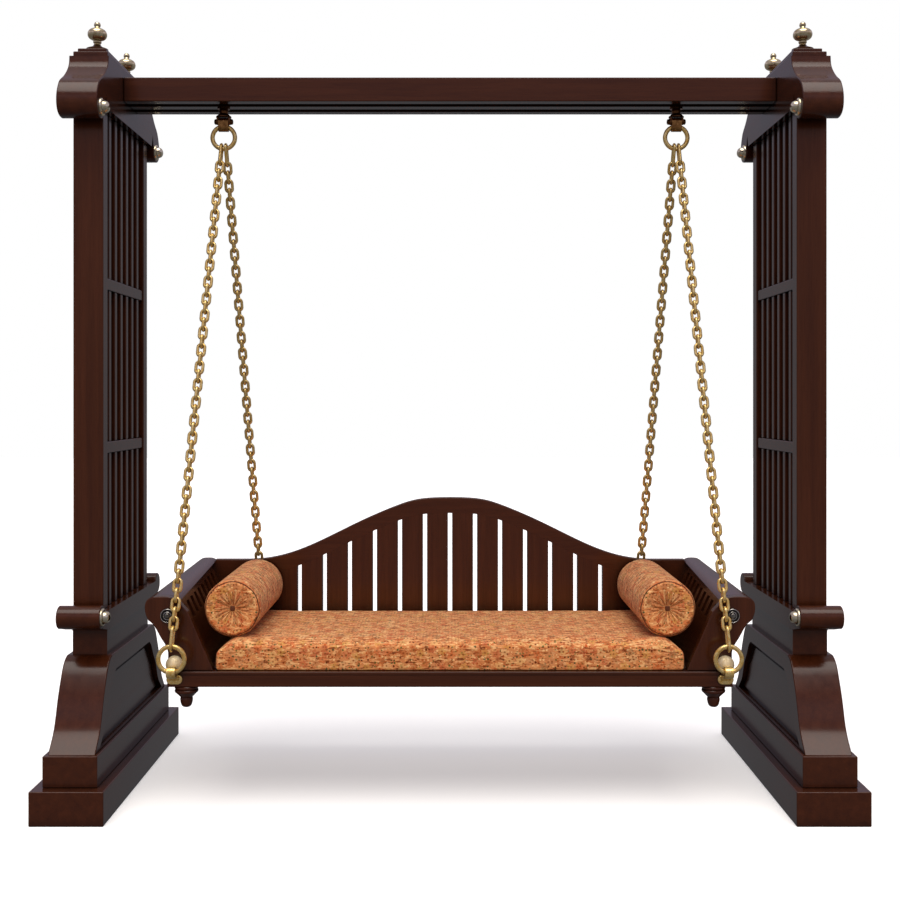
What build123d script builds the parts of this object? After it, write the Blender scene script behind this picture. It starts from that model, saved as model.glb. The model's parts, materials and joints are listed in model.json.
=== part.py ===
from build123d import *
import os
from math import atan2, degrees, hypot

# Jhoola: a wooden swing seat that hangs by four chains from a beam between two towers.
# Millimetres. +X is to the right of a person who faces the seat, -Y is the front and +Z is up.
# The origin is on the floor, midway between the towers.

# ---------------------------------------------------------------- towers
TOWER_CLEARANCE = 237.0
EASED_EDGE = 3.0
PLINTH_WIDTH = 200.0
PLINTH_DEPTH = 904.0
PLINTH_HEIGHT = 93.0
STEP_WIDTH = 148.0
STEP_DEPTH = 836.0
STEP_HEIGHT = 85.0

PEDESTAL_WIDTH = 128.0
PEDESTAL_HEIGHT = 236.0
PEDESTAL_FOOT_REACH = 404.0
PEDESTAL_ANKLE_REACH = 358.0
PEDESTAL_ANKLE_SHARE = 0.21
PEDESTAL_WAIST_REACH = 323.0
PEDESTAL_WAIST_SHARE = 0.54
PEDESTAL_SHOULDER_REACH = 292.0
PEDESTAL_SHOULDER_DROP = 50.0
PEDESTAL_TOP_REACH = 236.0
PANEL_BORDER = 48.0
PANEL_FLOOR_BORDER = 6.0
PANEL_RECESS_DEPTH = 17.0
PANEL_THICKNESS = 4.0
PANEL_SIDE_GROOVE = 17.0
PANEL_GROOVE = 9.0

NECK_WIDTH = 98.0
NECK_REACH = 232.0
NECK_HEIGHT = 76.0
COVE_SIZE = 11.0
COVE_LIP = 2.0

BASE_SCROLL_WIDTH = 120.0
BASE_SCROLL_HEIGHT = 54.0
BASE_SCROLL_BODY_REACH = 262.0
BASE_ROLL_RADIUS = 32.0
BASE_ROLL_REACH = 352.0
BASE_ROLL_DROP = 9.0

POST_WIDTH = 85.0
POST_DEPTH = 46.0
POST_OUTER_REACH = 250.0
POST_HEIGHT = 1416.0
SLAT_COUNT = 6
SLAT_WIDTH = 25.0
SLAT_DEPTH = 72.0
CROSS_RAIL_HEIGHT = 33.0
CROSS_RAIL_DEPTH = 78.0
LOWER_CROSS_RAIL_RISE = 440.0
UPPER_CROSS_RAIL_RISE = 910.0

CAPITAL_WIDTH = 112.0
CAPITAL_HEIGHT = 152.0
CAPITAL_TOP_REACH = 244.0
CAPITAL_EAVE_REACH = 264.0
CAPITAL_EAVE_DROP = 44.0
CAPITAL_WAVE_REACH = 306.0
CAPITAL_WAVE_DROP = 76.0
CAPITAL_CHEEK_REACH = 341.0
CAPITAL_CHEEK_DROP = 101.0
CAPITAL_FACE_REACH = 360.0
CAPITAL_FACE_DROP = 150.0
CAPITAL_BLOCK_REACH = 256.0
CAPITAL_ROLL_RADIUS = 31.0
CAPITAL_ROLL_CENTRE = 313.0
CAPITAL_ROLL_DROP = 10.0
CAPITAL_ARCH_RISE = 38.0

LOWER_CAP_WIDTH = 98.0
LOWER_CAP_REACH = 230.0
LOWER_CAP_HEIGHT = 17.0
UPPER_CAP_WIDTH = 82.0
UPPER_CAP_REACH = 214.0
UPPER_CAP_HEIGHT = 13.0

ROSETTE_RADIUS = 25.0
ROSETTE_PLATE = 6.0
ROSETTE_HOLLOW = 3.0
ROSETTE_DOME_RADIUS = 18.0
ROSETTE_DOME_HEIGHT = 17.0

FINIAL_REACH = 160.0
FINIAL_DISH_RADIUS = 31.0
FINIAL_DISH_RIM = 12.0
FINIAL_DISH_HEIGHT = 28.0
FINIAL_NECK_RADIUS = 9.0
FINIAL_COLLAR_RADIUS = 12.0
FINIAL_BULB_RADIUS = 27.5
FINIAL_BULB_HEIGHT = 36.0
FINIAL_BULB_BELLY = 19.0
FINIAL_BALL_RADIUS = 9.5
FINIAL_BALL_NECK = 5.5
FINIAL_STEM_HEIGHT = 37.0

# ---------------------------------------------------------------- beam and hangers
BEAM_HEIGHT = 71.0
BEAM_DEPTH = 171.0
BEAM_RISE = 62.0
BEAM_GROOVE_WIDTH = 34.0
BEAM_GROOVE_DEPTH = 18.0

HANGER_INSET = 100.0
PIVOT_DROP = 42.0
SHANK_RADIUS = 8.0
FORK_PLATE_RADIUS = 19.0
FORK_PLATE_THICKNESS = 4.0
FORK_STEM_RADIUS = 12.5
FORK_STEM_BEAD = 14.0
FORK_COLLAR_RADIUS = 23.0
FORK_COLLAR_RIM = 3.0
FORK_COLLAR_HEIGHT = 9.0
FORK_CHEEK_THICKNESS = 5.0
FORK_CHEEK_RADIUS = 9.6
FORK_HEAD_CLEARANCE = 3.0
SHANK_END = 4.0
BOLT_RADIUS = 5.5
BOLT_HEAD_RADIUS = 8.5
BOLT_HEAD_HEIGHT = 8.5
BOLT_HEAD_RIM = 3.4
BOLT_END = 4.0
NUT_BORE_DEPTH = 4.5
FIT_CLEARANCE = 0.05
SEAT_GAP = 0.3
WASHER_RADIUS = 22.0
WASHER_THICKNESS = 3.0
NUT_RADIUS = 14.0
NUT_HEIGHT = 13.0

STRAP_WIDTH = 30.0
STRAP_WALL = 4.5
TOP_RING_RADIUS = 34.0
TOP_RING_WIRE = 6.7
TOP_RING_DROP = 48.0

# ---------------------------------------------------------------- chains
LONG_LINK_WIRE = 4.5
LONG_LINK_LENGTH = 73.0
LONG_LINK_WIDTH = 32.0
TOP_LINK_OFFSET = 7.0
TOP_LINK_PLAY = 1.0
BOTTOM_LINK_PLAY = 0.2
LINK_WIRE = 4.5
LINK_WIDTH = 29.0
LINK_PITCH = 26.4
BOTTOM_RING_RADIUS = 36.0
BOTTOM_RING_WIRE = 6.3
BRACKET_STANDOFF = 40.0
BRACKET_LOOP_RISE = 28.0
BRACKET_FLANGE_LENGTH = 44.0
BRACKET_FLANGE_HEIGHT = 26.0
BRACKET_FLANGE_THICKNESS = 7.0
BRACKET_LOOP_WIDTH = 25.0
BRACKET_LOOP_PLAY = 2.9
BRACKET_LOOP_WALL = 7.0
BRACKET_ARM_HEIGHT = 11.0
BRACKET_EDGE = 2.5
FRONT_BRACKET_INSET = 21.0
REAR_BRACKET_INSET = 166.0

# ---------------------------------------------------------------- seat
SEAT_RAIL_TOP = 382.0
SEAT_RAIL_HEIGHT = 43.0
SEAT_LENGTH = 1572.0
SEAT_FRONT_REACH = 310.0
SEAT_REAR_REACH = 300.0
RAIL_DEPTH = 60.0
RAIL_BEAD_DROP = 8.0
RAIL_BEAD_SIZE = 2.0
DECK_THICKNESS = 18.0
DECK_PLANK_COUNT = 5
DECK_PLANK_GAP = 3.0
DECK_PLANK_EDGE = 1.5
BEARER_WIDTH = 50.0
BEARER_SPACING = 480.0
FOOT_DROP = 62.0
FOOT_RADIUS = 33.0
FOOT_RING_HEIGHT = 10.0
FOOT_RING_DEPTH = 3.0
FOOT_TAPER = 14.0
FOOT_NECK_RADIUS = 16.0
FOOT_KNOB_RADIUS = 17.0
FOOT_KNOB_BELLY = 11.0
FOOT_INSET = 48.0
BALL_RADIUS = 24.0
BALL_RISE = 21.0
BALL_STANDOFF = 12.0

# ---------------------------------------------------------------- back and arms
BACK_THICKNESS = 28.0
BACK_END_HEIGHT = 240.0
BACK_PEAK_RISE = 200.0
BACK_SHOULDER_INSET = 136.0
CREST_HEIGHT = 50.0
BACK_SLOT_COUNT = 13
BACK_END_WIDTH = 300.0
BACK_SLOT_WIDTH = 13.6
CREST_JOINT = 0.2

ARM_BOARD_THICKNESS = 30.0
ARM_BOARD_SETBACK = 10.0
ARM_FOOT_WIDTH = 126.0
ARM_INNER_BEND_OUT = 72.0
ARM_INNER_BEND_RISE = 165.0
ARM_RAIL_EDGE_OUT = 97.0
ARM_RAIL_EDGE_RISE = 192.0
ARM_TOP_OUT = 150.0
ARM_TOP_RISE = 207.0
ARM_TIP_OUT = 191.0
ARM_TIP_RISE = 176.0
ARM_UNDER_OUT = 181.0
ARM_UNDER_RISE = 140.0
ARM_WAIST_OUT = 145.0
ARM_WAIST_RISE = 90.0
ARM_REAR_LIFT = 42.0
ARM_REAR_SCALE = 0.6
ARM_PANEL_FOOT_OUT = 24.0
ARM_PANEL_HEAD_OUT = 112.0
ARM_PANEL_THICKNESS = 18.0
ARM_SLOT_COUNT = 9
ARM_SLOT_PITCH = 50.0
ARM_SLOT_WIDTH = 26.0
ARM_SLOT_LENGTH = 46.0
ARM_SLOT_HEAD_MARGIN = 8.0
ARM_ROSETTE_OUT = 127.0
ARM_ROSETTE_RISE = 154.0
ARM_ROSETTE_RADIUS = 19.5
ARM_ROSETTE_THICKNESS = 5.0
ARM_ROSETTE_ROUND = 3.0
ARM_SCREW_RADIUS = 8.0
ARM_SCREW_HEIGHT = 5.0
ARM_SCREW_ROUND = 4.0

# ---------------------------------------------------------------- upholstery
CUSHION_END_GAP = 4.5
CUSHION_HEIGHT = 83.0
CUSHION_EDGE_RADIUS = 12.0
CUSHION_END_SLOPE = 55.0
CUSHION_END_DROP = 27.0
CUSHION_FRONT_SETBACK = 12.0
CUSHION_REAR_GAP = 1.0
BOLSTER_RADIUS = 82.0
BOLSTER_LENGTH = 480.0
BOLSTER_EDGE_RADIUS = 18.0
BOLSTER_ARM_GAP = 43.0
BOLSTER_BACK_GAP = 8.0

# ---------------------------------------------------------------- heights that stack up
PLINTH_TOP = PLINTH_HEIGHT
STEP_TOP = PLINTH_TOP + STEP_HEIGHT
PEDESTAL_TOP = STEP_TOP + PEDESTAL_HEIGHT
NECK_TOP = PEDESTAL_TOP + NECK_HEIGHT
POST_BOTTOM = NECK_TOP + BASE_SCROLL_HEIGHT
POST_TOP = POST_BOTTOM + POST_HEIGHT
CAPITAL_TOP = POST_TOP + CAPITAL_HEIGHT
LOWER_CAP_TOP = CAPITAL_TOP + LOWER_CAP_HEIGHT
UPPER_CAP_TOP = LOWER_CAP_TOP + UPPER_CAP_HEIGHT
BEAM_BOTTOM = POST_TOP + BEAM_RISE
BEAM_TOP = BEAM_BOTTOM + BEAM_HEIGHT
PIVOT_Z = BEAM_BOTTOM - PIVOT_DROP
DECK_BOTTOM = SEAT_RAIL_TOP - DECK_THICKNESS
RAIL_BOTTOM = SEAT_RAIL_TOP - SEAT_RAIL_HEIGHT
CUSHION_TOP = SEAT_RAIL_TOP + CUSHION_HEIGHT

# ---------------------------------------------------------------- places that follow from the sizes
SEAT_HALF = SEAT_LENGTH / 2
TOWER_X = SEAT_HALF + TOWER_CLEARANCE
HANGER_X = SEAT_HALF - HANGER_INSET
CAPITAL_INNER_X = TOWER_X - CAPITAL_WIDTH / 2
BRACKET_X = {"front": SEAT_HALF - FRONT_BRACKET_INSET, "rear": SEAT_HALF - REAR_BRACKET_INSET}
BACK_SHOULDER_REACH = SEAT_HALF - BACK_SHOULDER_INSET
BACK_SLOT_PITCH = 2 * (SEAT_HALF - BACK_END_WIDTH) / (BACK_SLOT_COUNT - 1)
ARM_INNER_FOOT = SEAT_HALF - ARM_FOOT_WIDTH
BACK_CREST_REACH = ARM_INNER_FOOT + ARM_RAIL_EDGE_OUT
BACK_FRONT_Y = SEAT_REAR_REACH - RAIL_DEPTH
FRONT_RAIL_REAR_Y = RAIL_DEPTH - SEAT_FRONT_REACH
BOARD_FRONT_Y = ARM_BOARD_SETBACK - SEAT_FRONT_REACH
BOARD_REAR_Y = BOARD_FRONT_Y + ARM_BOARD_THICKNESS
SIDES = {"left": -1, "right": 1}


# ---------------------------------------------------------------- helpers
def block(x_low, x_high, y_low, y_high, z_low, z_high):
    """A plain box between two corners."""
    centre = Pos((x_low + x_high) / 2, (y_low + y_high) / 2, (z_low + z_high) / 2)
    return centre * Box(x_high - x_low, y_high - y_low, z_high - z_low)


def eased_block(x_low, x_high, y_low, y_high, z_low, z_high, radius=EASED_EDGE):
    """A box whose twelve edges are eased."""
    body = block(x_low, x_high, y_low, y_high, z_low, z_high)
    return fillet(body.edges(), radius)


def cylinder_x(radius, x_low, x_high, y, z):
    """A cylinder along X."""
    return Pos((x_low + x_high) / 2, y, z) * Rot(0, 90, 0) * Cylinder(radius, x_high - x_low)


def cylinder_y(radius, y_low, y_high, x, z):
    """A cylinder along Y."""
    return Pos(x, (y_low + y_high) / 2, z) * Rot(90, 0, 0) * Cylinder(radius, y_high - y_low)


def across(profile, width):
    """A YZ profile, drawn with Y as its first axis, made a solid of that width about X = 0."""
    return extrude(Plane.YZ * profile, width / 2, both=True)


def eased_rims(body, axis):
    """A board whose outline is eased on both of its faces across an axis."""
    faces = body.faces().filter_by(axis).sort_by(axis)
    return fillet(faces[0].outer_wire().edges() + faces[-1].outer_wire().edges(), EASED_EDGE)


def symmetric_face(right_edges, bottom, top):
    """A face from its right-hand outline, which runs from the bottom corner to the top corner."""
    left_edges = [edge.mirror(Plane.YZ) for edge in right_edges]
    base = Line((-bottom[0], bottom[1]), bottom)
    head = Line((-top[0], top[1]), top)
    return make_face([base, head, *right_edges, *left_edges])


def turned(points, z_base):
    """A turned solid about Z. The points are (radius, height) pairs, from the axis to the axis."""
    outline = make_face(Polyline(*points, (0, points[0][1])))
    return Pos(0, 0, z_base) * revolve(Plane.XZ * outline, Axis.Z)


def dome_edge(radius, base, top):
    """The outline of a dome, from its rim to its top on the axis."""
    return Spline((radius, base), (0, top), tangents=((0, 1), (-1, 0)))


def mirrored(part):
    """The same piece on the other side of the swing."""
    return mirror(part, about=Plane.YZ)


def on_both_sides(part):
    """A left-hand piece and its mirror image."""
    return [part, mirrored(part)]


# ---------------------------------------------------------------- tower pieces, centred on X = 0
def plinth():
    """The floor block of a tower."""
    half_width = PLINTH_WIDTH / 2
    half_depth = PLINTH_DEPTH / 2
    return eased_block(-half_width, half_width, -half_depth, half_depth, 0, PLINTH_TOP)


def step_block():
    """The narrower block on the plinth."""
    half_width = STEP_WIDTH / 2
    half_depth = STEP_DEPTH / 2
    return eased_block(-half_width, half_width, -half_depth, half_depth, PLINTH_TOP, STEP_TOP)


def bell_face(inset=0.0, floor_inset=0.0):
    """The bell outline of the pedestal, moved inwards by an inset, and up from the floor by another."""
    z_low = STEP_TOP + floor_inset
    z_high = PEDESTAL_TOP - inset
    height = z_high - z_low
    foot = (PEDESTAL_FOOT_REACH - inset, z_low)
    ankle = (PEDESTAL_ANKLE_REACH - inset, z_low + PEDESTAL_ANKLE_SHARE * height)
    waist = (PEDESTAL_WAIST_REACH - inset, z_low + PEDESTAL_WAIST_SHARE * height)
    shoulder = (PEDESTAL_SHOULDER_REACH - inset, z_high - PEDESTAL_SHOULDER_DROP)
    top = (PEDESTAL_TOP_REACH - inset, z_high)
    side = Spline(foot, ankle, waist, shoulder, top, tangents=((-1, 1), (-1, 0.25)))
    return symmetric_face([side], foot, top)


def pedestal():
    """The bell-shaped pedestal, with a recess in each side face."""
    body = eased_rims(across(bell_face(), PEDESTAL_WIDTH), Axis.X)
    outline = bell_face(PANEL_BORDER, PANEL_FLOOR_BORDER)
    core = across(outline, PEDESTAL_WIDTH)
    web = across(outline, PEDESTAL_WIDTH - 2 * PANEL_RECESS_DEPTH)
    return body - (core - web)


def pedestal_panels():
    """The two raised fields that stand in the pedestal's recesses."""
    field = bell_face(PANEL_BORDER + PANEL_SIDE_GROOVE, PANEL_FLOOR_BORDER + PANEL_GROOVE)
    seat = PEDESTAL_WIDTH / 2 - PANEL_RECESS_DEPTH
    panel = Pos(seat, 0, 0) * extrude(Plane.YZ * field, PANEL_THICKNESS)
    return on_both_sides(panel)


def neck_block():
    """The neck between pedestal and base scroll, with a cove under its head."""
    half = NECK_WIDTH / 2
    wide = half + COVE_SIZE
    long = NECK_REACH + COVE_SIZE
    under = NECK_TOP - COVE_LIP
    body = block(-half, half, -NECK_REACH, NECK_REACH, PEDESTAL_TOP, NECK_TOP)
    body = body + block(-wide, wide, -long, long, under, NECK_TOP)
    level = body.edges().filter_by_position(Axis.Z, under, under)
    inner_long = [edge for edge in level if abs(edge.center().X) <= half]
    corner = [edge for edge in inner_long if abs(edge.center().Y) <= NECK_REACH]
    return fillet(corner, COVE_SIZE - COVE_LIP)


def base_scroll():
    """The board with a roll at each end that carries the posts."""
    half_width = BASE_SCROLL_WIDTH / 2
    roll_y = BASE_ROLL_REACH - BASE_ROLL_RADIUS
    roll_z = POST_BOTTOM - BASE_ROLL_DROP
    outline = Polyline(
        (-roll_y, POST_BOTTOM),
        (roll_y, POST_BOTTOM),
        (roll_y, roll_z - BASE_ROLL_RADIUS),
        (BASE_SCROLL_BODY_REACH, NECK_TOP),
        (-BASE_SCROLL_BODY_REACH, NECK_TOP),
        (-roll_y, roll_z - BASE_ROLL_RADIUS),
        (-roll_y, POST_BOTTOM),
    )
    body = across(make_face(outline), BASE_SCROLL_WIDTH)
    for y in (-roll_y, roll_y):
        roll = cylinder_x(BASE_ROLL_RADIUS, -half_width, half_width, y, roll_z)
        body = body + fillet(roll.edges().filter_by(GeomType.CIRCLE), EASED_EDGE)
    return body


def post(sign):
    """A tower post: sign -1 is the front one and +1 the rear one."""
    inner = sign * (POST_OUTER_REACH - POST_DEPTH)
    outer = sign * POST_OUTER_REACH
    half_width = POST_WIDTH / 2
    y_low, y_high = sorted((inner, outer))
    return eased_block(-half_width, half_width, y_low, y_high, POST_BOTTOM, POST_TOP)


def cross_rail_heights():
    """The lower and upper height of each cross rail."""
    rises = (LOWER_CROSS_RAIL_RISE, UPPER_CROSS_RAIL_RISE)
    return [(POST_BOTTOM + rise, POST_BOTTOM + rise + CROSS_RAIL_HEIGHT) for rise in rises]


def cross_rails():
    """The rails that tie the two posts of a tower."""
    reach = POST_OUTER_REACH - POST_DEPTH
    half = CROSS_RAIL_DEPTH / 2
    return [eased_block(-half, half, -reach, reach, low, high) for low, high in cross_rail_heights()]


def tower_slats():
    """The upright slats, in three tiers between the scroll, the cross rails and the capital."""
    levels = [POST_BOTTOM]
    for low, high in cross_rail_heights():
        levels += [low, high]
    levels.append(POST_TOP)
    bay = 2 * (POST_OUTER_REACH - POST_DEPTH)
    gap = (bay - SLAT_COUNT * SLAT_WIDTH) / (SLAT_COUNT + 1)
    half = SLAT_DEPTH / 2
    slats = []
    for low, high in zip(levels[::2], levels[1::2]):
        for index in range(SLAT_COUNT):
            y_low = -bay / 2 + gap + index * (SLAT_WIDTH + gap)
            slats.append(eased_block(-half, half, y_low, y_low + SLAT_WIDTH, low, high))
    return slats


def capital():
    """The scrolled capital: one outline with a wave and a hanging roll at each end."""
    roll_z = POST_TOP - CAPITAL_ROLL_DROP
    top = (CAPITAL_TOP_REACH, CAPITAL_TOP)
    eave = (CAPITAL_EAVE_REACH, CAPITAL_TOP - CAPITAL_EAVE_DROP)
    wave = (CAPITAL_WAVE_REACH, CAPITAL_TOP - CAPITAL_WAVE_DROP)
    cheek = (CAPITAL_CHEEK_REACH, CAPITAL_TOP - CAPITAL_CHEEK_DROP)
    face = (CAPITAL_FACE_REACH, CAPITAL_TOP - CAPITAL_FACE_DROP)
    roll_under = (CAPITAL_ROLL_CENTRE, roll_z - CAPITAL_ROLL_RADIUS)
    roll_inner = (CAPITAL_ROLL_CENTRE - CAPITAL_ROLL_RADIUS, roll_z)
    arch_low = (roll_inner[0], POST_TOP)
    arch_top = ((roll_inner[0] + CAPITAL_BLOCK_REACH) / 2, POST_TOP + CAPITAL_ARCH_RISE)
    block_corner = (CAPITAL_BLOCK_REACH, POST_TOP)
    edges = [
        Line(block_corner, arch_top),
        Line(arch_top, arch_low),
        Line(arch_low, roll_inner),
        TangentArc(roll_inner, roll_under, tangent=(0, -1)),
        Spline(roll_under, face, cheek, tangents=((1, 0), (-0.7, 1))),
        Spline(cheek, wave, eave, top, tangents=((-0.7, 1), (0, 1))),
    ]
    body = across(symmetric_face(edges, block_corner, top), CAPITAL_WIDTH)
    curves = (GeomType.BSPLINE, GeomType.CIRCLE)
    return fillet([edge for edge in body.edges() if edge.geom_type in curves], EASED_EDGE)


def cap_boards():
    """The two stacked boards on the capital."""
    tiers = (
        (LOWER_CAP_WIDTH / 2, LOWER_CAP_REACH, CAPITAL_TOP, LOWER_CAP_TOP),
        (UPPER_CAP_WIDTH / 2, UPPER_CAP_REACH, LOWER_CAP_TOP, UPPER_CAP_TOP),
    )
    return [eased_block(-half, half, -reach, reach, low, high) for half, reach, low, high in tiers]


def finial():
    """A turned finial: dish, neck, bulb and ball."""
    bulb_low = FINIAL_STEM_HEIGHT
    bulb_high = bulb_low + FINIAL_BULB_HEIGHT
    ball_middle = bulb_high + FINIAL_BALL_RADIUS
    belly = (FINIAL_BULB_RADIUS, bulb_low + FINIAL_BULB_BELLY)
    rim_top = (FINIAL_DISH_RADIUS, FINIAL_DISH_RIM)
    dish_top = (FINIAL_NECK_RADIUS, FINIAL_DISH_HEIGHT)
    collar = (FINIAL_COLLAR_RADIUS, (FINIAL_DISH_HEIGHT + bulb_low) / 2)
    neck_top = (FINIAL_NECK_RADIUS, bulb_low)
    bulb_top = (FINIAL_NECK_RADIUS, bulb_high)
    ball_foot = (FINIAL_BALL_NECK, ball_middle)
    outline = [
        Line((0, 0), (FINIAL_DISH_RADIUS, 0)),
        Line((FINIAL_DISH_RADIUS, 0), rim_top),
        Spline(rim_top, dish_top, tangents=((-1, 0.4), (-0.2, 1))),
        ThreePointArc(dish_top, collar, neck_top),
        Spline(neck_top, belly, bulb_top, tangents=((1, 0.2), (-1, 0.25))),
        Line(bulb_top, ball_foot),
        Line(ball_foot, (0, ball_middle)),
        Line((0, ball_middle), (0, 0)),
    ]
    stem = revolve(Plane.XZ * make_face(outline), Axis.Z)
    return stem + Pos(0, 0, ball_middle) * Sphere(FINIAL_BALL_RADIUS)


def finials():
    """Two finials on each tower's upper board."""
    shape = finial()
    spots = [(x * TOWER_X, y * FINIAL_REACH) for x in (-1, 1) for y in (-1, 1)]
    return [Pos(x, y, UPPER_CAP_TOP) * shape for x, y in spots]


def rosette():
    """A domed rosette whose back lies on X = 0 and whose dome points to +X."""
    dome_top = ROSETTE_PLATE + ROSETTE_DOME_HEIGHT
    rim = (ROSETTE_RADIUS, 0)
    shelf = (ROSETTE_RADIUS - ROSETTE_PLATE, ROSETTE_PLATE)
    outline = [
        Line((0, 0), rim),
        Spline(rim, shelf, tangents=((0, 1), (-1, 0))),
        Line(shelf, (ROSETTE_DOME_RADIUS, ROSETTE_HOLLOW)),
        dome_edge(ROSETTE_DOME_RADIUS, ROSETTE_HOLLOW, dome_top),
        Line((0, dome_top), (0, 0)),
    ]
    dome = revolve(Plane.XZ * make_face(outline), Axis.Z)
    return Rot(0, 90, 0) * dome


def scroll_rosettes():
    """A rosette on the swing's side of each front base roll and of every capital roll."""
    shape = rosette()
    base_y = BASE_ROLL_REACH - BASE_ROLL_RADIUS
    base = (BASE_SCROLL_WIDTH / 2, -base_y, POST_BOTTOM - BASE_ROLL_DROP)
    capital_z = POST_TOP - CAPITAL_ROLL_DROP
    front = (CAPITAL_WIDTH / 2, -CAPITAL_ROLL_CENTRE, capital_z)
    rear = (CAPITAL_WIDTH / 2, CAPITAL_ROLL_CENTRE, capital_z)
    placed = [Pos(half_width - TOWER_X, y, z) * shape for half_width, y, z in (base, front, rear)]
    return [rosette_piece for piece in placed for rosette_piece in on_both_sides(piece)]


# ---------------------------------------------------------------- beam and hangers
def beam():
    """The beam between the capitals, with two grooves underneath and a hole at each hanger."""
    half = BEAM_DEPTH / 2
    body = eased_block(-CAPITAL_INNER_X, CAPITAL_INNER_X, -half, half, BEAM_BOTTOM, BEAM_TOP)
    strip = (BEAM_DEPTH - 2 * BEAM_GROOVE_WIDTH) / 3
    groove_centre = (strip + BEAM_GROOVE_WIDTH) / 2
    for sign in (-1, 1):
        y_low = sign * groove_centre - BEAM_GROOVE_WIDTH / 2
        y_high = y_low + BEAM_GROOVE_WIDTH
        z_high = BEAM_BOTTOM + BEAM_GROOVE_DEPTH
        body = body - block(-CAPITAL_INNER_X, CAPITAL_INNER_X, y_low, y_high, BEAM_BOTTOM, z_high)
        hole = Cylinder(SHANK_RADIUS + FIT_CLEARANCE, 4 * BEAM_HEIGHT)
        body = body - Pos(sign * HANGER_X, 0, BEAM_BOTTOM) * hole
    return body


def hanger_fork():
    """A fork whose shank goes up through the beam, centred on X = 0."""
    shank_top = BEAM_HEIGHT + WASHER_THICKNESS + NUT_HEIGHT + SHANK_END
    collar_low = FORK_CHEEK_RADIUS + FORK_HEAD_CLEARANCE - PIVOT_DROP
    collar_high = collar_low + FORK_COLLAR_RIM + FORK_COLLAR_HEIGHT
    plate_low = -FORK_PLATE_THICKNESS
    stem_middle = (collar_high + plate_low) / 2
    stem = turned(
        [
            (0, collar_low),
            (FORK_COLLAR_RADIUS, collar_low),
            (FORK_COLLAR_RADIUS, collar_low + FORK_COLLAR_RIM),
            (FORK_STEM_RADIUS, collar_high),
            (FORK_STEM_BEAD, stem_middle),
            (FORK_STEM_RADIUS, plate_low),
            (FORK_PLATE_RADIUS, plate_low),
            (FORK_PLATE_RADIUS, 0),
            (SHANK_RADIUS, 0),
            (SHANK_RADIUS, shank_top),
            (0, shank_top),
        ],
        BEAM_BOTTOM,
    )
    inner = STRAP_WIDTH / 2 + SEAT_GAP
    outer = fork_half_width()
    head_z = BEAM_BOTTOM + collar_low
    for sign in (-1, 1):
        x_low, x_high = sorted((sign * inner, sign * outer))
        cheek = cylinder_x(FORK_CHEEK_RADIUS, x_low, x_high, 0, PIVOT_Z)
        cheek = cheek + block(x_low, x_high, -FORK_CHEEK_RADIUS, FORK_CHEEK_RADIUS, PIVOT_Z, head_z)
        stem = stem + cheek
    return stem - cylinder_x(BOLT_RADIUS + FIT_CLEARANCE, -2 * outer, 2 * outer, 0, PIVOT_Z)


def domed_head(x_seat, sign):
    """A round domed head that starts at x_seat and points to sign."""
    rim = (BOLT_HEAD_RADIUS, BOLT_HEAD_RIM)
    outline = make_face(
        [
            Line((0, 0), (BOLT_HEAD_RADIUS, 0)),
            Line((BOLT_HEAD_RADIUS, 0), rim),
            dome_edge(*rim, BOLT_HEAD_HEIGHT),
            Line((0, BOLT_HEAD_HEIGHT), (0, 0)),
        ]
    )
    head = Rot(0, 90 * sign, 0) * revolve(Plane.XZ * outline, Axis.Z)
    return Pos(x_seat, 0, PIVOT_Z) * head


def fork_half_width():
    """Half the width of the fork over its cheeks."""
    return STRAP_WIDTH / 2 + SEAT_GAP + FORK_CHEEK_THICKNESS


def hanger_bolt():
    """The pivot bolt of a hanger: its head is on the outer side of the left hanger."""
    reach = fork_half_width()
    shaft = cylinder_x(BOLT_RADIUS, -reach, reach + BOLT_END, 0, PIVOT_Z)
    return shaft + domed_head(-reach, -1)


def hanger_nut():
    """The domed nut on the pivot bolt."""
    reach = fork_half_width()
    bore = cylinder_x(BOLT_RADIUS + FIT_CLEARANCE, reach, reach + NUT_BORE_DEPTH, 0, PIVOT_Z)
    return domed_head(reach, 1) - bore


def beam_washer():
    """The washer on the beam over a hanger."""
    hole = Cylinder(SHANK_RADIUS + FIT_CLEARANCE, WASHER_THICKNESS)
    ring = Cylinder(WASHER_RADIUS, WASHER_THICKNESS) - hole
    return Pos(0, 0, BEAM_TOP + WASHER_THICKNESS / 2) * ring


def beam_nut():
    """The hexagonal nut on the shank."""
    profile = RegularPolygon(NUT_RADIUS, 6) - Circle(SHANK_RADIUS + FIT_CLEARANCE)
    return Pos(0, 0, BEAM_TOP + WASHER_THICKNESS) * extrude(profile, NUT_HEIGHT)


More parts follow.
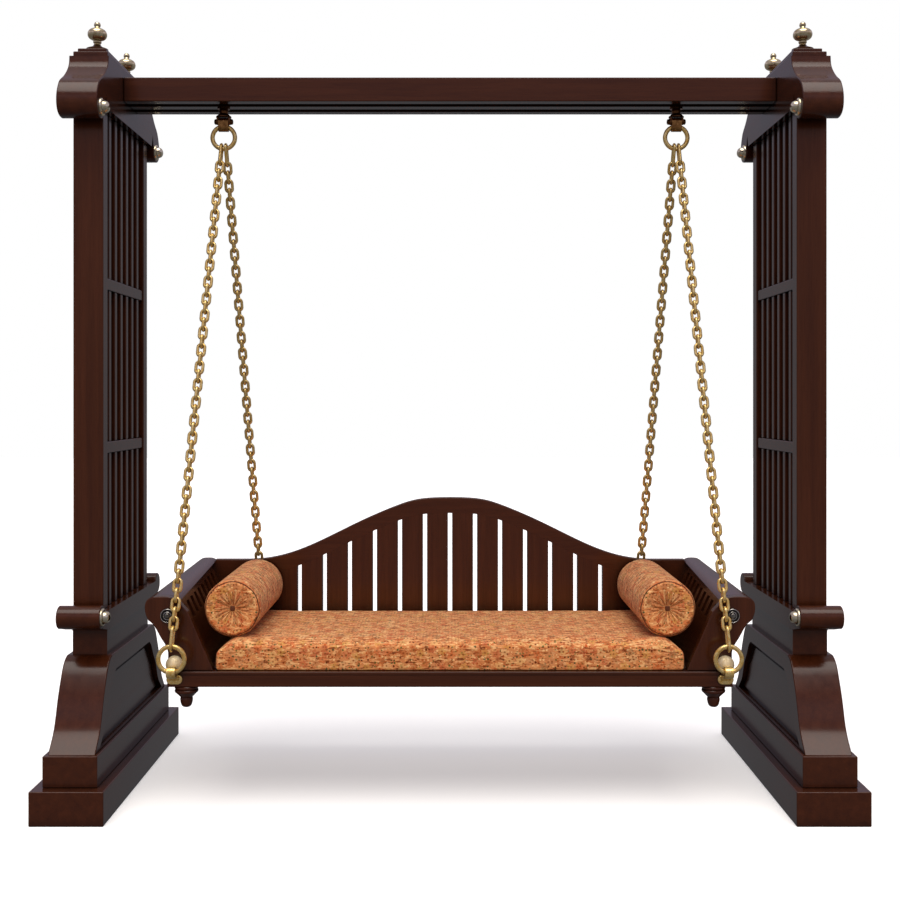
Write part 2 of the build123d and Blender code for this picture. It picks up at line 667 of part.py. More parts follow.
def hanger_strap():
    """The strap that goes round the pivot bolt and carries the top ring."""
    ring_centre = PIVOT_Z - TOP_RING_DROP
    inner_ring = TOP_RING_RADIUS - TOP_RING_WIRE
    drop_at_edge = (inner_ring**2 - (STRAP_WIDTH / 2) ** 2) ** 0.5
    slot_radius = TOP_RING_WIRE + 2 * SEAT_GAP
    slot_low = ring_centre + drop_at_edge - SEAT_GAP + slot_radius
    slot_high = PIVOT_Z - BOLT_RADIUS
    outer_radius = slot_radius + STRAP_WALL

    def obround(radius, low, high):
        """A vertical slot outline about Y = 0."""
        middle = Pos(0, (low + high) / 2) * Rectangle(2 * radius, high - low)
        return middle + Pos(0, low) * Circle(radius) + Pos(0, high) * Circle(radius)

    outer = obround(outer_radius, slot_low, PIVOT_Z)
    inner = obround(slot_radius, slot_low, slot_high - slot_radius * 0.5)
    bolt_hole = Pos(0, PIVOT_Z) * Circle(BOLT_RADIUS + FIT_CLEARANCE)
    throat = Pos(0, (slot_high + PIVOT_Z) / 2) * Rectangle(2 * BOLT_RADIUS, PIVOT_Z - slot_high)
    return across(outer - inner - bolt_hole - throat, STRAP_WIDTH)


# ---------------------------------------------------------------- chains
def torus(ring_radius, wire_radius, centre):
    """A ring that faces the front."""
    return Pos(*centre) * Rot(90, 0, 0) * Torus(ring_radius, wire_radius)


def link(length, width, wire):
    """A chain link about the origin: long along Z and wide along X, measured over its wire."""
    bend = width / 2 - wire
    straight = length / 2 - width / 2
    path = Wire(
        [
            Line((bend, 0, -straight), (bend, 0, straight)).edge(),
            ThreePointArc((bend, 0, straight), (0, 0, straight + bend), (-bend, 0, straight)).edge(),
            Line((-bend, 0, straight), (-bend, 0, -straight)).edge(),
            ThreePointArc((-bend, 0, -straight), (0, 0, -straight - bend), (bend, 0, -straight)).edge(),
        ]
    )
    section = Plane(origin=(bend, 0, 0), z_dir=(0, 0, 1)) * Circle(wire)
    return sweep(section, path=path)


def along(top, bottom, distance, faces_front):
    """The plane of a link whose centre lies that far from top towards bottom."""
    direction = (bottom - top).normalized()
    sideways = (Vector(1, 0, 0) - direction * direction.X).normalized()
    if not faces_front:
        sideways = direction.cross(sideways)
    return Plane(origin=top + direction * distance, x_dir=sideways, z_dir=direction)


def chain_ends(side, row):
    """Where the wire of the top ring and of the lower ring meets a chain."""
    sign = SIDES[side]
    outwards = 1 if row == "front" else -1
    ring_y, ring_z = lower_ring_centre(row)
    rise = TOP_RING_RADIUS - (TOP_RING_RADIUS**2 - TOP_LINK_OFFSET**2) ** 0.5
    top_x = sign * (HANGER_X + outwards * TOP_LINK_OFFSET)
    top = Vector(top_x, 0, PIVOT_Z - TOP_RING_DROP - TOP_RING_RADIUS + rise)
    bottom = Vector(sign * BRACKET_X[row], ring_y, ring_z + BOTTOM_RING_RADIUS)
    return top, bottom


def lower_ring_centre(row):
    """Y and Z of a lower ring's centre."""
    reach = SEAT_FRONT_REACH if row == "front" else SEAT_REAR_REACH
    sign = -1 if row == "front" else 1
    return sign * (reach + BRACKET_STANDOFF), bracket_loop_z() + BOTTOM_RING_RADIUS


def bracket_loop_z():
    """The height of a bracket's loop, where the lower ring's wire passes."""
    return (SEAT_RAIL_TOP + RAIL_BOTTOM) / 2 + BRACKET_LOOP_RISE


def chain(side, row):
    """The solids of one chain: its long top link, its common links and its long bottom link."""
    top, bottom = chain_ends(side, row)
    span = (bottom - top).length
    centreline = LONG_LINK_LENGTH - 2 * LONG_LINK_WIRE
    top_hook = TOP_RING_WIRE + LONG_LINK_WIRE + SEAT_GAP + TOP_LINK_PLAY
    bottom_hook = BOTTOM_RING_WIRE + LONG_LINK_WIRE + SEAT_GAP + BOTTOM_LINK_PLAY
    joint = LONG_LINK_WIRE + LINK_WIRE + SEAT_GAP
    first = centreline - top_hook - joint
    last = span + bottom_hook - centreline + joint
    overlap = 2 * LINK_WIRE + SEAT_GAP
    pairs = round(((last - first - overlap) / LINK_PITCH - 1) / 2)
    count = 2 * pairs + 1
    pitch = (last - first - overlap) / count
    common = link(pitch + overlap + 2 * LINK_WIRE, LINK_WIDTH, LINK_WIRE)
    links = []
    for index in range(count):
        middle = first + index * pitch + (pitch + overlap) / 2
        links.append(along(top, bottom, middle, index % 2 == 0) * common)
    long_link = link(LONG_LINK_LENGTH, LONG_LINK_WIDTH, LONG_LINK_WIRE)
    top_link = along(top, bottom, centreline / 2 - top_hook, False) * long_link
    bottom_link = along(top, bottom, span + bottom_hook - centreline / 2, False) * long_link
    return top_link, links, bottom_link


def eye_bracket(sign, row):
    """A flange on the rail with a loop that holds the lower ring."""
    ring_y, _ = lower_ring_centre(row)
    towards_rail = 1 if row == "front" else -1
    rail_y = ring_y + towards_rail * BRACKET_STANDOFF
    flange_z = (SEAT_RAIL_TOP + RAIL_BOTTOM) / 2
    loop_z = bracket_loop_z()
    hole = BOTTOM_RING_WIRE + BRACKET_LOOP_PLAY
    rim = hole + BRACKET_LOOP_WALL
    loop = Pos(ring_y, loop_z) * Circle(rim)
    run = towards_rail * BRACKET_STANDOFF
    angle = degrees(atan2(flange_z - loop_z, run))
    length = hypot(run, flange_z - loop_z)
    middle = Pos(ring_y + run / 2, (loop_z + flange_z) / 2)
    arm = middle * Rot(0, 0, angle) * Rectangle(length, BRACKET_ARM_HEIGHT)
    profile = loop + arm - Pos(ring_y, loop_z) * Circle(hole)
    body = across(profile, BRACKET_LOOP_WIDTH)
    rims = [arc for arc in body.edges().filter_by(GeomType.CIRCLE) if arc.radius > hole]
    body = fillet(rims, BRACKET_EDGE)
    y_low, y_high = sorted((rail_y, rail_y - towards_rail * BRACKET_FLANGE_THICKNESS))
    oval = SlotOverall(BRACKET_FLANGE_LENGTH, BRACKET_FLANGE_HEIGHT)
    flange = extrude(Plane.XZ * oval, -BRACKET_FLANGE_THICKNESS)
    flange = fillet(flange.faces().sort_by(Axis.Y)[0 if row == "front" else -1].edges(), BRACKET_EDGE)
    body = body + Pos(0, y_low, flange_z) * flange
    behind = rail_y + towards_rail * BRACKET_STANDOFF
    cut_low, cut_high = sorted((rail_y, behind))
    width = BRACKET_FLANGE_LENGTH
    body = body - block(-width, width, cut_low, cut_high, RAIL_BOTTOM - width, SEAT_RAIL_TOP + width)
    return Pos(sign * BRACKET_X[row], 0, 0) * body


def lower_ring(sign, row):
    """The ring between a bracket and the bottom link."""
    ring_y, ring_z = lower_ring_centre(row)
    return torus(BOTTOM_RING_RADIUS, BOTTOM_RING_WIRE, (sign * BRACKET_X[row], ring_y, ring_z))


# ---------------------------------------------------------------- seat
def front_rail():
    """The front rail of the seat, with a fine groove under its top edge."""
    half = SEAT_HALF
    body = eased_block(-half, half, -SEAT_FRONT_REACH, FRONT_RAIL_REAR_Y, RAIL_BOTTOM, SEAT_RAIL_TOP)
    groove_top = SEAT_RAIL_TOP - RAIL_BEAD_DROP
    groove_low = groove_top - RAIL_BEAD_SIZE
    groove_rear = -SEAT_FRONT_REACH + RAIL_BEAD_SIZE
    return body - block(-half, half, -SEAT_FRONT_REACH, groove_rear, groove_low, groove_top)


def rear_rail():
    """The rear rail, which carries the back."""
    half = SEAT_HALF
    return eased_block(-half, half, BACK_FRONT_Y, SEAT_REAR_REACH, RAIL_BOTTOM, SEAT_RAIL_TOP)


def side_rail():
    """The left side rail, between the front and the rear rail."""
    x_low = -SEAT_HALF
    x_high = x_low + RAIL_DEPTH
    return eased_block(x_low, x_high, FRONT_RAIL_REAR_Y, BACK_FRONT_Y, RAIL_BOTTOM, SEAT_RAIL_TOP)


def deck_planks():
    """The planks of the seat, inside the rails."""
    half = SEAT_HALF - RAIL_DEPTH
    depth = BACK_FRONT_Y - FRONT_RAIL_REAR_Y
    width = (depth - (DECK_PLANK_COUNT - 1) * DECK_PLANK_GAP) / DECK_PLANK_COUNT
    planks = []
    for index in range(DECK_PLANK_COUNT):
        y_low = FRONT_RAIL_REAR_Y + index * (width + DECK_PLANK_GAP)
        y_high = y_low + width
        plank = eased_block(-half, half, y_low, y_high, DECK_BOTTOM, SEAT_RAIL_TOP, DECK_PLANK_EDGE)
        planks.append(plank)
    return planks


def deck_bearers():
    """The bearers that carry the planks from the front rail to the rear rail."""
    half = BEARER_WIDTH / 2
    return [
        eased_block(x - half, x + half, FRONT_RAIL_REAR_Y, BACK_FRONT_Y, RAIL_BOTTOM, DECK_BOTTOM)
        for x in (-BEARER_SPACING, 0, BEARER_SPACING)
    ]


def pendant_foot():
    """A turned foot that hangs under a corner of the seat: two rings, a taper and a round knob."""
    ring = FOOT_RING_HEIGHT
    waist = FOOT_RADIUS - FOOT_RING_DEPTH
    neck = (FOOT_NECK_RADIUS, -2 * ring - FOOT_TAPER)
    belly = (FOOT_KNOB_RADIUS, neck[1] - FOOT_KNOB_BELLY)
    outline = [
        Line((0, 0), (waist, 0)),
        ThreePointArc((waist, 0), (FOOT_RADIUS, -ring / 2), (waist, -ring)),
        ThreePointArc((waist, -ring), (FOOT_RADIUS, -1.5 * ring), (waist, -2 * ring)),
        Line((waist, -2 * ring), neck),
        Spline(neck, belly, (0, -FOOT_DROP), tangents=((1, -1), (-1, 0))),
        Line((0, -FOOT_DROP), (0, 0)),
    ]
    return Pos(0, 0, RAIL_BOTTOM) * revolve(Plane.XZ * make_face(outline), Axis.Z)


def pendant_feet():
    """A foot under each corner of the seat."""
    shape = pendant_foot()
    x = SEAT_HALF - FOOT_INSET
    rows = (RAIL_DEPTH / 2 - SEAT_FRONT_REACH, SEAT_REAR_REACH - RAIL_DEPTH / 2)
    return [Pos(sign * x, y, 0) * shape for sign in (-1, 1) for y in rows]


def ball_knob():
    """The ball that stands on the left front board of the arm, behind the lower ring."""
    centre_y = BOARD_FRONT_Y - BALL_STANDOFF
    centre = (-BRACKET_X["front"], centre_y, SEAT_RAIL_TOP + BALL_RISE)
    ball = Pos(*centre) * Sphere(BALL_RADIUS)
    reach = 2 * BALL_RADIUS
    cut = block(-reach, reach, BOARD_FRONT_Y, BOARD_FRONT_Y + reach, -reach, reach)
    under = block(-reach, reach, -reach, reach, SEAT_RAIL_TOP - reach, SEAT_RAIL_TOP)
    return ball - Pos(centre[0], 0, centre[2]) * cut - Pos(centre[0], centre_y, 0) * under


# ---------------------------------------------------------------- back
def camel_curve(drop):
    """The camel-back line, lowered by a drop, from its left end to its right end."""
    end = SEAT_RAIL_TOP + BACK_END_HEIGHT - drop
    slope_points = ((0.745, 0.16), (0.447, 0.614), (0.248, 0.888))
    shoulder = BACK_SHOULDER_REACH
    slope = [(-out * shoulder, end + rise * BACK_PEAK_RISE) for out, rise in slope_points]
    half = [
        Line((-BACK_CREST_REACH, end), (-shoulder, end)),
        Spline((-shoulder, end), *slope, (0, end + BACK_PEAK_RISE), tangents=((1, 0), (1, 0))),
    ]
    return half + [edge.mirror(Plane.YZ) for edge in half]


def under_camel(drop, floor):
    """The face between a camel-back line and a level floor."""
    end = SEAT_RAIL_TOP + BACK_END_HEIGHT - drop
    reach = BACK_CREST_REACH
    frame = [
        Line((-reach, floor), (reach, floor)),
        Line((-reach, floor), (-reach, end)),
        Line((reach, floor), (reach, end)),
    ]
    return make_face([*camel_curve(drop), *frame])


def back_solid(profile):
    """An XZ profile made a board of the back."""
    return Pos(0, BACK_FRONT_Y, 0) * extrude(Plane.XZ * profile, -BACK_THICKNESS)


def crest_face():
    """The outline of the crest rail."""
    return under_camel(0, SEAT_RAIL_TOP) - under_camel(CREST_HEIGHT, SEAT_RAIL_TOP - CREST_HEIGHT)


def crest_rail():
    """The curved top rail of the back, eased along its upper edges."""
    body = back_solid(crest_face())
    lowest = SEAT_RAIL_TOP + BACK_END_HEIGHT - EASED_EDGE
    along_x = [edge for edge in body.edges() if edge.bounding_box().size.Y < EASED_EDGE]
    upper = [edge for edge in along_x if edge.bounding_box().min.Z > lowest]
    return fillet(upper, EASED_EDGE)


def under_crest(x_low, x_high):
    """The part of the back between two places along it, under the crest rail."""
    under = under_camel(CREST_HEIGHT + CREST_JOINT, SEAT_RAIL_TOP)
    tall = 2 * (BACK_END_HEIGHT + BACK_PEAK_RISE)
    return under & Pos((x_low + x_high) / 2, SEAT_RAIL_TOP) * Rectangle(x_high - x_low, tall)


def back_slats():
    """The upright boards between the slots, cut to the curve of the crest rail."""
    half = (BACK_SLOT_PITCH - BACK_SLOT_WIDTH) / 2
    first = -(BACK_SLOT_COUNT - 2) / 2 * BACK_SLOT_PITCH
    centres = [first + index * BACK_SLOT_PITCH for index in range(BACK_SLOT_COUNT - 1)]
    return [back_solid(under_crest(x - half, x + half)) for x in centres]


def back_end_panel():
    """The left end of the back: a plain board whose outer end has the outline of the arm."""
    inner = (BACK_SLOT_COUNT - 1) / 2 * BACK_SLOT_PITCH + BACK_SLOT_WIDTH / 2
    arm = mirror(arm_face(ARM_REAR_LIFT, ARM_REAR_SCALE), about=Plane.YZ)
    return back_solid(under_crest(-BACK_CREST_REACH, -inner) + arm - crest_face())


# ---------------------------------------------------------------- arms, drawn on the right
def arm_point(out, rise, lift=0.0):
    """A point of the arm outline, from the inner foot of the front board."""
    return (ARM_INNER_FOOT + out, SEAT_RAIL_TOP + rise + lift)


def arm_head(lift, scale):
    """The edge of the arm rail, and the top, tip and underside of the head, scaled about the edge."""
    edge = arm_point(ARM_RAIL_EDGE_OUT, ARM_RAIL_EDGE_RISE, lift)
    corners = ((ARM_TOP_OUT, ARM_TOP_RISE), (ARM_TIP_OUT, ARM_TIP_RISE), (ARM_UNDER_OUT, ARM_UNDER_RISE))
    head = [
        (edge[0] + (out - ARM_RAIL_EDGE_OUT) * scale, edge[1] + (rise - ARM_RAIL_EDGE_RISE) * scale)
        for out, rise in corners
    ]
    return edge, *head


def arm_head_edges(lift, scale):
    """The rolled-over head, from the inner edge of the arm rail to its underside."""
    edge, top, tip, under = arm_head(lift, scale)
    return [
        Spline(edge, top, tip, tangents=((1, 1), (0, -1))),
        TangentArc(tip, under, tangent=(0, -1)),
    ]


def arm_face(lift, scale):
    """The whole outline of an arm's end board. Its foot stays on the rail when it is lifted."""
    foot = arm_point(0, 0)
    bend = arm_point(ARM_INNER_BEND_OUT, ARM_INNER_BEND_RISE, lift)
    edge, _, _, under = arm_head(lift, scale)
    waist_out = ARM_FOOT_WIDTH + (ARM_WAIST_OUT - ARM_FOOT_WIDTH) * scale
    waist = arm_point(waist_out, ARM_WAIST_RISE, lift)
    heel = (SEAT_HALF, waist[1] - ARM_WAIST_RISE / 2)
    return make_face(
        [
            Line(foot, bend),
            Line(bend, edge),
            *arm_head_edges(lift, scale),
            Spline(under, waist, heel, tangents=((-1, -0.6), (0, -1))),
            Line(heel, (SEAT_HALF, SEAT_RAIL_TOP)),
            Line((SEAT_HALF, SEAT_RAIL_TOP), foot),
        ]
    )


def arm_front_board():
    """The front board of the right arm."""
    board = extrude(Plane.XZ * arm_face(0.0, 1.0), -ARM_BOARD_THICKNESS)
    return eased_rims(Pos(0, BOARD_FRONT_Y, 0) * board, Axis.Y)


def sloped(profile):
    """An XZ profile carried from the front board to the back along the rise of the arm."""
    run = BACK_FRONT_Y - BOARD_REAR_Y
    start = Pos(0, BOARD_REAR_Y, 0) * (Plane.XZ * profile)
    return extrude(start, hypot(run, ARM_REAR_LIFT), dir=(0, run, ARM_REAR_LIFT))


def arm_rail():
    """The rolled-over top rail of the right arm, which narrows towards the back."""
    sections = []
    for y, lift, scale in ((BOARD_REAR_Y, 0.0, 1.0), (BACK_FRONT_Y, ARM_REAR_LIFT, ARM_REAR_SCALE)):
        edge, _, _, under = arm_head(lift, scale)
        outline = make_face([*arm_head_edges(lift, scale), Line(under, edge)])
        sections.append(Pos(0, y, 0) * (Plane.XZ * outline))
    return loft(sections, ruled=True)


def arm_panel():
    """The leaning side panel of the right arm, with a row of slots under the rail."""
    edge, _, _, under = arm_head(0.0, 1.0)
    lean = (ARM_PANEL_HEAD_OUT - ARM_PANEL_FOOT_OUT) / ARM_RAIL_EDGE_RISE
    foot_x = ARM_INNER_FOOT + ARM_PANEL_FOOT_OUT
    rail_slope = (under[1] - edge[1]) / (under[0] - edge[0])
    below = SEAT_RAIL_TOP - 2 * ARM_REAR_LIFT

    def on_face(offset, z):
        """X of the panel's face at a height, moved outwards by an offset."""
        return foot_x + offset + lean * (z - SEAT_RAIL_TOP)

    def under_rail(offset):
        """Where a face of the panel meets the underside of the arm rail."""
        start = foot_x + offset - lean * SEAT_RAIL_TOP
        z = (edge[1] + rail_slope * (start - edge[0])) / (1 - rail_slope * lean)
        return (start + lean * z, z)

    thickness = ARM_PANEL_THICKNESS * hypot(1, lean)
    inner_head = under_rail(0.0)
    outer_head = under_rail(thickness)
    corners = [
        (on_face(0.0, below), below),
        inner_head,
        outer_head,
        (on_face(thickness, below), below),
    ]
    panel = sloped(make_face(Polyline(*corners, corners[0])))
    far = 2 * SEAT_LENGTH
    floor_cut = block(0, far, BOARD_REAR_Y, BACK_FRONT_Y, below - far, SEAT_RAIL_TOP)
    panel = panel - floor_cut
    middle_y = (BOARD_REAR_Y + BACK_FRONT_Y) / 2
    rise_per_mm = ARM_REAR_LIFT / (BACK_FRONT_Y - BOARD_REAR_Y)
    for index in range(ARM_SLOT_COUNT):
        y = middle_y + (index - (ARM_SLOT_COUNT - 1) / 2) * ARM_SLOT_PITCH
        lift = (y - BOARD_REAR_Y) * rise_per_mm
        z_high = outer_head[1] + lift - ARM_SLOT_HEAD_MARGIN
        z_low = z_high - ARM_SLOT_LENGTH
        half = ARM_SLOT_WIDTH / 2
        panel = panel - block(ARM_INNER_FOOT, far, y - half, y + half, z_low, z_high)
    return panel


def arm_rosette():
    """The round boss on the right arm's front board."""
    x, z = arm_point(ARM_ROSETTE_OUT, ARM_ROSETTE_RISE)
    disc = cylinder_y(ARM_ROSETTE_RADIUS, BOARD_FRONT_Y - ARM_ROSETTE_THICKNESS, BOARD_FRONT_Y, x, z)
    return fillet(disc.edges().group_by(Axis.Y)[0], ARM_ROSETTE_ROUND)


def arm_screw():
    """The domed screw head in the middle of the boss."""
    x, z = arm_point(ARM_ROSETTE_OUT, ARM_ROSETTE_RISE)
    face_y = BOARD_FRONT_Y - ARM_ROSETTE_THICKNESS
    head = cylinder_y(ARM_SCREW_RADIUS, face_y - ARM_SCREW_HEIGHT, face_y, x, z)
    return fillet(head.edges().group_by(Axis.Y)[0], ARM_SCREW_ROUND)


# ---------------------------------------------------------------- upholstery
def seat_cushion():
    """The plain solid of the seat cushion, sloped down at its ends."""
    half = ARM_INNER_FOOT - CUSHION_END_GAP
    y_low = CUSHION_FRONT_SETBACK - SEAT_FRONT_REACH
    y_high = BACK_FRONT_Y - CUSHION_REAR_GAP
    z_low = SEAT_RAIL_TOP + SEAT_GAP
    outline = Polyline(
        (-half, z_low),
        (half, z_low),
        (half, CUSHION_TOP - CUSHION_END_DROP),
        (half - CUSHION_END_SLOPE, CUSHION_TOP),
        (CUSHION_END_SLOPE - half, CUSHION_TOP),
        (-half, CUSHION_TOP - CUSHION_END_DROP),
        (-half, z_low),
    )
    body = Pos(0, y_low, 0) * extrude(Plane.XZ * make_face(outline), y_low - y_high)
    top = body.faces().sort_by(Axis.Z)[-1]
    return fillet(top.edges().filter_by(Axis.X), CUSHION_EDGE_RADIUS)


def bolster():
    """The left bolster, which lies on the cushion along Y, on the edge of its end slope."""
    y_high = BACK_FRONT_Y - BOLSTER_BACK_GAP
    overhang = CUSHION_END_GAP + CUSHION_END_SLOPE - BOLSTER_ARM_GAP
    z = CUSHION_TOP + ((BOLSTER_RADIUS + SEAT_GAP) ** 2 - overhang**2) ** 0.5
    x = BOLSTER_ARM_GAP - ARM_INNER_FOOT
    roll = cylinder_y(BOLSTER_RADIUS, y_high - BOLSTER_LENGTH, y_high, x, z)
    return fillet(roll.edges().filter_by(GeomType.CIRCLE), BOLSTER_EDGE_RADIUS)


# ---------------------------------------------------------------- assembly
def tower_nodes():
    """The nodes of both towers."""
    made = {
        "plinth": [plinth()],
        "step_block": [step_block()],
        "pedestal": [pedestal()],
        "pedestal_panels": pedestal_panels(),
        "neck_block": [neck_block()],
        "base_scroll": [base_scroll()],
        "front_post": [post(-1)],
        "rear_post": [post(1)],
        "tower_slats": tower_slats(),
        "tower_rails": cross_rails(),
        "capital": [capital()],
        "cap_boards": cap_boards(),
    }
    nodes = {}
    for side, sign in SIDES.items():
        for name, parts in made.items():
            nodes[f"{name}_{side}"] = [Pos(sign * TOWER_X, 0, 0) * part for part in parts]
    nodes["finials"] = finials()
    nodes["scroll_rosettes"] = scroll_rosettes()
    return nodes


def hanger_nodes():
    """The beam and the hangers under it."""

    def at_hangers(part):
        """A left-hand hanger piece and its mirror image."""
        return on_both_sides(Pos(-HANGER_X, 0, 0) * part)

    forks = at_hangers(hanger_fork())
    return {
        "beam": [beam()],
        "hanger_fork_left": forks[:1],
        "hanger_fork_right": forks[1:],
        "hanger_bolts": at_hangers(hanger_bolt()),
        "hanger_nuts": at_hangers(hanger_nut()),
        "beam_fixings": at_hangers(beam_washer()) + at_hangers(beam_nut()),
        "hanger_straps": at_hangers(hanger_strap()),
        "top_rings": at_hangers(torus(TOP_RING_RADIUS, TOP_RING_WIRE, (0, 0, PIVOT_Z - TOP_RING_DROP))),
    }


def chain_nodes():
    """The chains, their long links, rings and brackets."""
    nodes = {"top_links": [], "bottom_links": [], "bottom_rings": [], "eye_brackets": []}
    for row in ("front", "rear"):
        for side, sign in SIDES.items():
            top_link, links, bottom_link = chain(side, row)
            nodes["top_links"].append(top_link)
            nodes["bottom_links"].append(bottom_link)
            nodes[f"chain_{row}_{side}"] = links
            nodes["bottom_rings"].append(lower_ring(sign, row))
            nodes["eye_brackets"].append(eye_bracket(sign, row))
    return nodes


def seat_nodes():
    """The seat, its back and its arms."""
    return {
        "front_rail": [front_rail()],
        "rear_rail": [rear_rail()],
        "side_rails": on_both_sides(side_rail()),
        "seat_deck": deck_planks(),
        "deck_bearers": deck_bearers(),
        "pendant_feet": pendant_feet(),
        "ball_knobs": on_both_sides(ball_knob()),
        "crest_rail": [crest_rail()],
        "back_slats": back_slats(),
        "back_end_panels": on_both_sides(back_end_panel()),
        "arm_front_boards": on_both_sides(arm_front_board()),
        "arm_rails": on_both_sides(arm_rail()),
        "arm_panels": on_both_sides(arm_panel()),
        "arm_rosettes": on_both_sides(arm_rosette()),
        "arm_screws": on_both_sides(arm_screw()),
    }


def upholstery_nodes():
    """The cushion and the bolsters."""
    left, right = on_both_sides(bolster())
    return {"seat_cushion": [seat_cushion()], "bolster_left": [left], "bolster_right": [right]}


def write(name, parts):
    """Writes one node's solids to its file."""
    solids = [solid for part in parts for solid in part.solids()]
    export_step(Compound(children=solids, label=name), f"parts/{name}.step")


os.makedirs("parts", exist_ok=True)
for group in (tower_nodes(), hanger_nodes(), chain_nodes(), seat_nodes(), upholstery_nodes()):
    for node, shapes in group.items():
        write(node, shapes)
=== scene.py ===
"""A jhoola swing: its finishes, its upholstery, a plain studio and the camera.

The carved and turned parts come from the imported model. This script gives them their finishes,
and makes the seat cushion and the two bolsters as sewn and stuffed pieces.
"""

import json
import logging
import math
from dataclasses import dataclass, field
from enum import Enum

import bmesh
import bpy
import numpy as np
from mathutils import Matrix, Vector

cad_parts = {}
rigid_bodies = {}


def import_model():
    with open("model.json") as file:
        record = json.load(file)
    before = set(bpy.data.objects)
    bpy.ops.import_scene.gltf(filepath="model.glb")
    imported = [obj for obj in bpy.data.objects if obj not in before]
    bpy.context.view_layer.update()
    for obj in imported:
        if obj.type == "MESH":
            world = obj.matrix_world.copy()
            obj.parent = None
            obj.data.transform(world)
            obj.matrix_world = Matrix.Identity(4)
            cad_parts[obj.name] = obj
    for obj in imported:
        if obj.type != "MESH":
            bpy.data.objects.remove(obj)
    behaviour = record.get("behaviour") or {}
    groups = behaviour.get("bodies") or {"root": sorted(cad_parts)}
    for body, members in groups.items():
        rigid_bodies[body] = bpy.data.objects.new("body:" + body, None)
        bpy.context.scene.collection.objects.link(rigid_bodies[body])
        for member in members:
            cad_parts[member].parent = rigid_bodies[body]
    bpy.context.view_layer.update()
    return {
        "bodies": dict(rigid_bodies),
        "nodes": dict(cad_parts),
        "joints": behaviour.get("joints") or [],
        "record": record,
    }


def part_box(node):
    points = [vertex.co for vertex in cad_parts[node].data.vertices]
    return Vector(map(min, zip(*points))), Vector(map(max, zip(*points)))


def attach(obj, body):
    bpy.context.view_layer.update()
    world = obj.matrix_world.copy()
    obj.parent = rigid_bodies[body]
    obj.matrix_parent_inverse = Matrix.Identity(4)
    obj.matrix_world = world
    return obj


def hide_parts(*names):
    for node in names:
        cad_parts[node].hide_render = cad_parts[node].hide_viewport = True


LOG = logging.getLogger("jhoola")
CLOTH_UV = "cloth"
FOLD_DEPTH = "fold_depth"
MM = 0.001
# Where a noise's useful values start and end.
NOISE_LOW, NOISE_HIGH = 0.3, 0.7

Colour = tuple[float, float, float, float]
Stops = tuple[tuple[float, str], ...]
Box = tuple[Vector, Vector]
Piece = bpy.types.Object
Material = bpy.types.Material
Node = bpy.types.Node
NodeTree = bpy.types.NodeTree
Socket = bpy.types.NodeSocket


# ------------------------------------------------------------------ small helpers
def linear(hex_text: str, alpha: float = 1.0) -> Colour:
    """Turns an sRGB hex colour to linear light.

    Args:
        hex_text: six hex digits, with or without a hash sign.
        alpha: the fourth channel.

    Returns:
        The colour as red, green, blue and alpha.
    """
    digits = hex_text.lstrip("#")
    channels = []
    for start in (0, 2, 4):
        value = int(digits[start : start + 2], 16) / 255
        channels.append(value / 12.92 if value <= 0.04045 else ((value + 0.055) / 1.055) ** 2.4)
    return channels[0], channels[1], channels[2], alpha


def add_node(
    tree: NodeTree, kind: str, options: dict | None = None, inputs: dict | None = None
) -> Node:
    """Adds a node with its settings and links.

    Args:
        tree: the node tree that takes it.
        kind: the node's type, such as ShaderNodeMix.
        options: properties of the node, by name.
        inputs: values or output sockets, by the name or number of the input.

    Returns:
        The new node.
    """
    node = tree.nodes.new(kind)
    for name, value in (options or {}).items():
        setattr(node, name, value)
    for key, value in (inputs or {}).items():
        if isinstance(value, Socket):
            tree.links.new(value, node.inputs[key])
        else:
            node.inputs[key].default_value = value
    return node


def fill_ramp(node: Node, stops: Stops, constant: bool = False) -> None:
    """Sets the stops of a colour ramp.

    Args:
        node: the colour ramp node.
        stops: place and hex colour of each stop, from left to right.
        constant: whether each colour holds until the next stop.
    """
    ramp = node.color_ramp
    ramp.interpolation = "CONSTANT" if constant else "LINEAR"
    while len(ramp.elements) < len(stops):
        ramp.elements.new(1.0)
    for element, (place, colour) in zip(ramp.elements, stops):
        element.position = place
        element.color = linear(colour)


def equal_stops(colours: tuple[str, ...]) -> Stops:
    """Spaces colours evenly along a ramp, for fill_ramp."""
    return tuple((index / len(colours), colour) for index, colour in enumerate(colours))


def hollow_mask(tree: NodeTree, reach: float, strength: float, samples: int) -> Socket:
    """Finds a surface's hollows, from the share of the open air that each point sees.

    Args:
        tree: the node tree.
        reach: how far around a point counts, in metres.
        strength: the mask's value in a deep hollow.
        samples: the number of directions that are tried.

    Returns:
        The mask, which is 0 on open faces.
    """
    shelter = add_node(
        tree, "ShaderNodeAmbientOcclusion", {"samples": samples},
        {"Distance": reach},
    )
    mask = add_node(
        tree, "ShaderNodeMapRange",
        inputs={
            "Value": shelter.outputs["AO"],
            "From Min": 0.25,
            "From Max": 0.85,
            "To Min": strength,
            "To Max": 0.0,
        },
    )
    return mask.outputs[0]


def new_material(name: str) -> tuple[Material, NodeTree, Node]:
    """Makes an empty node material.

    Args:
        name: the material's name.

    Returns:
        The material, its tree and its output node.
    """
    material = bpy.data.materials.new(name)
    material.use_nodes = True
    tree = material.node_tree
    tree.nodes.clear()
    return material, tree, add_node(tree, "ShaderNodeOutputMaterial")


def deselect() -> None:
    """Deselects every object."""
    for thing in bpy.context.selected_objects:
        thing.select_set(False)


def make_active(thing: Piece) -> None:
    """Selects one object alone and makes it active.

    Args:
        thing: the object.
    """
    deselect()
    thing.select_set(True)
    bpy.context.view_layer.objects.active = thing


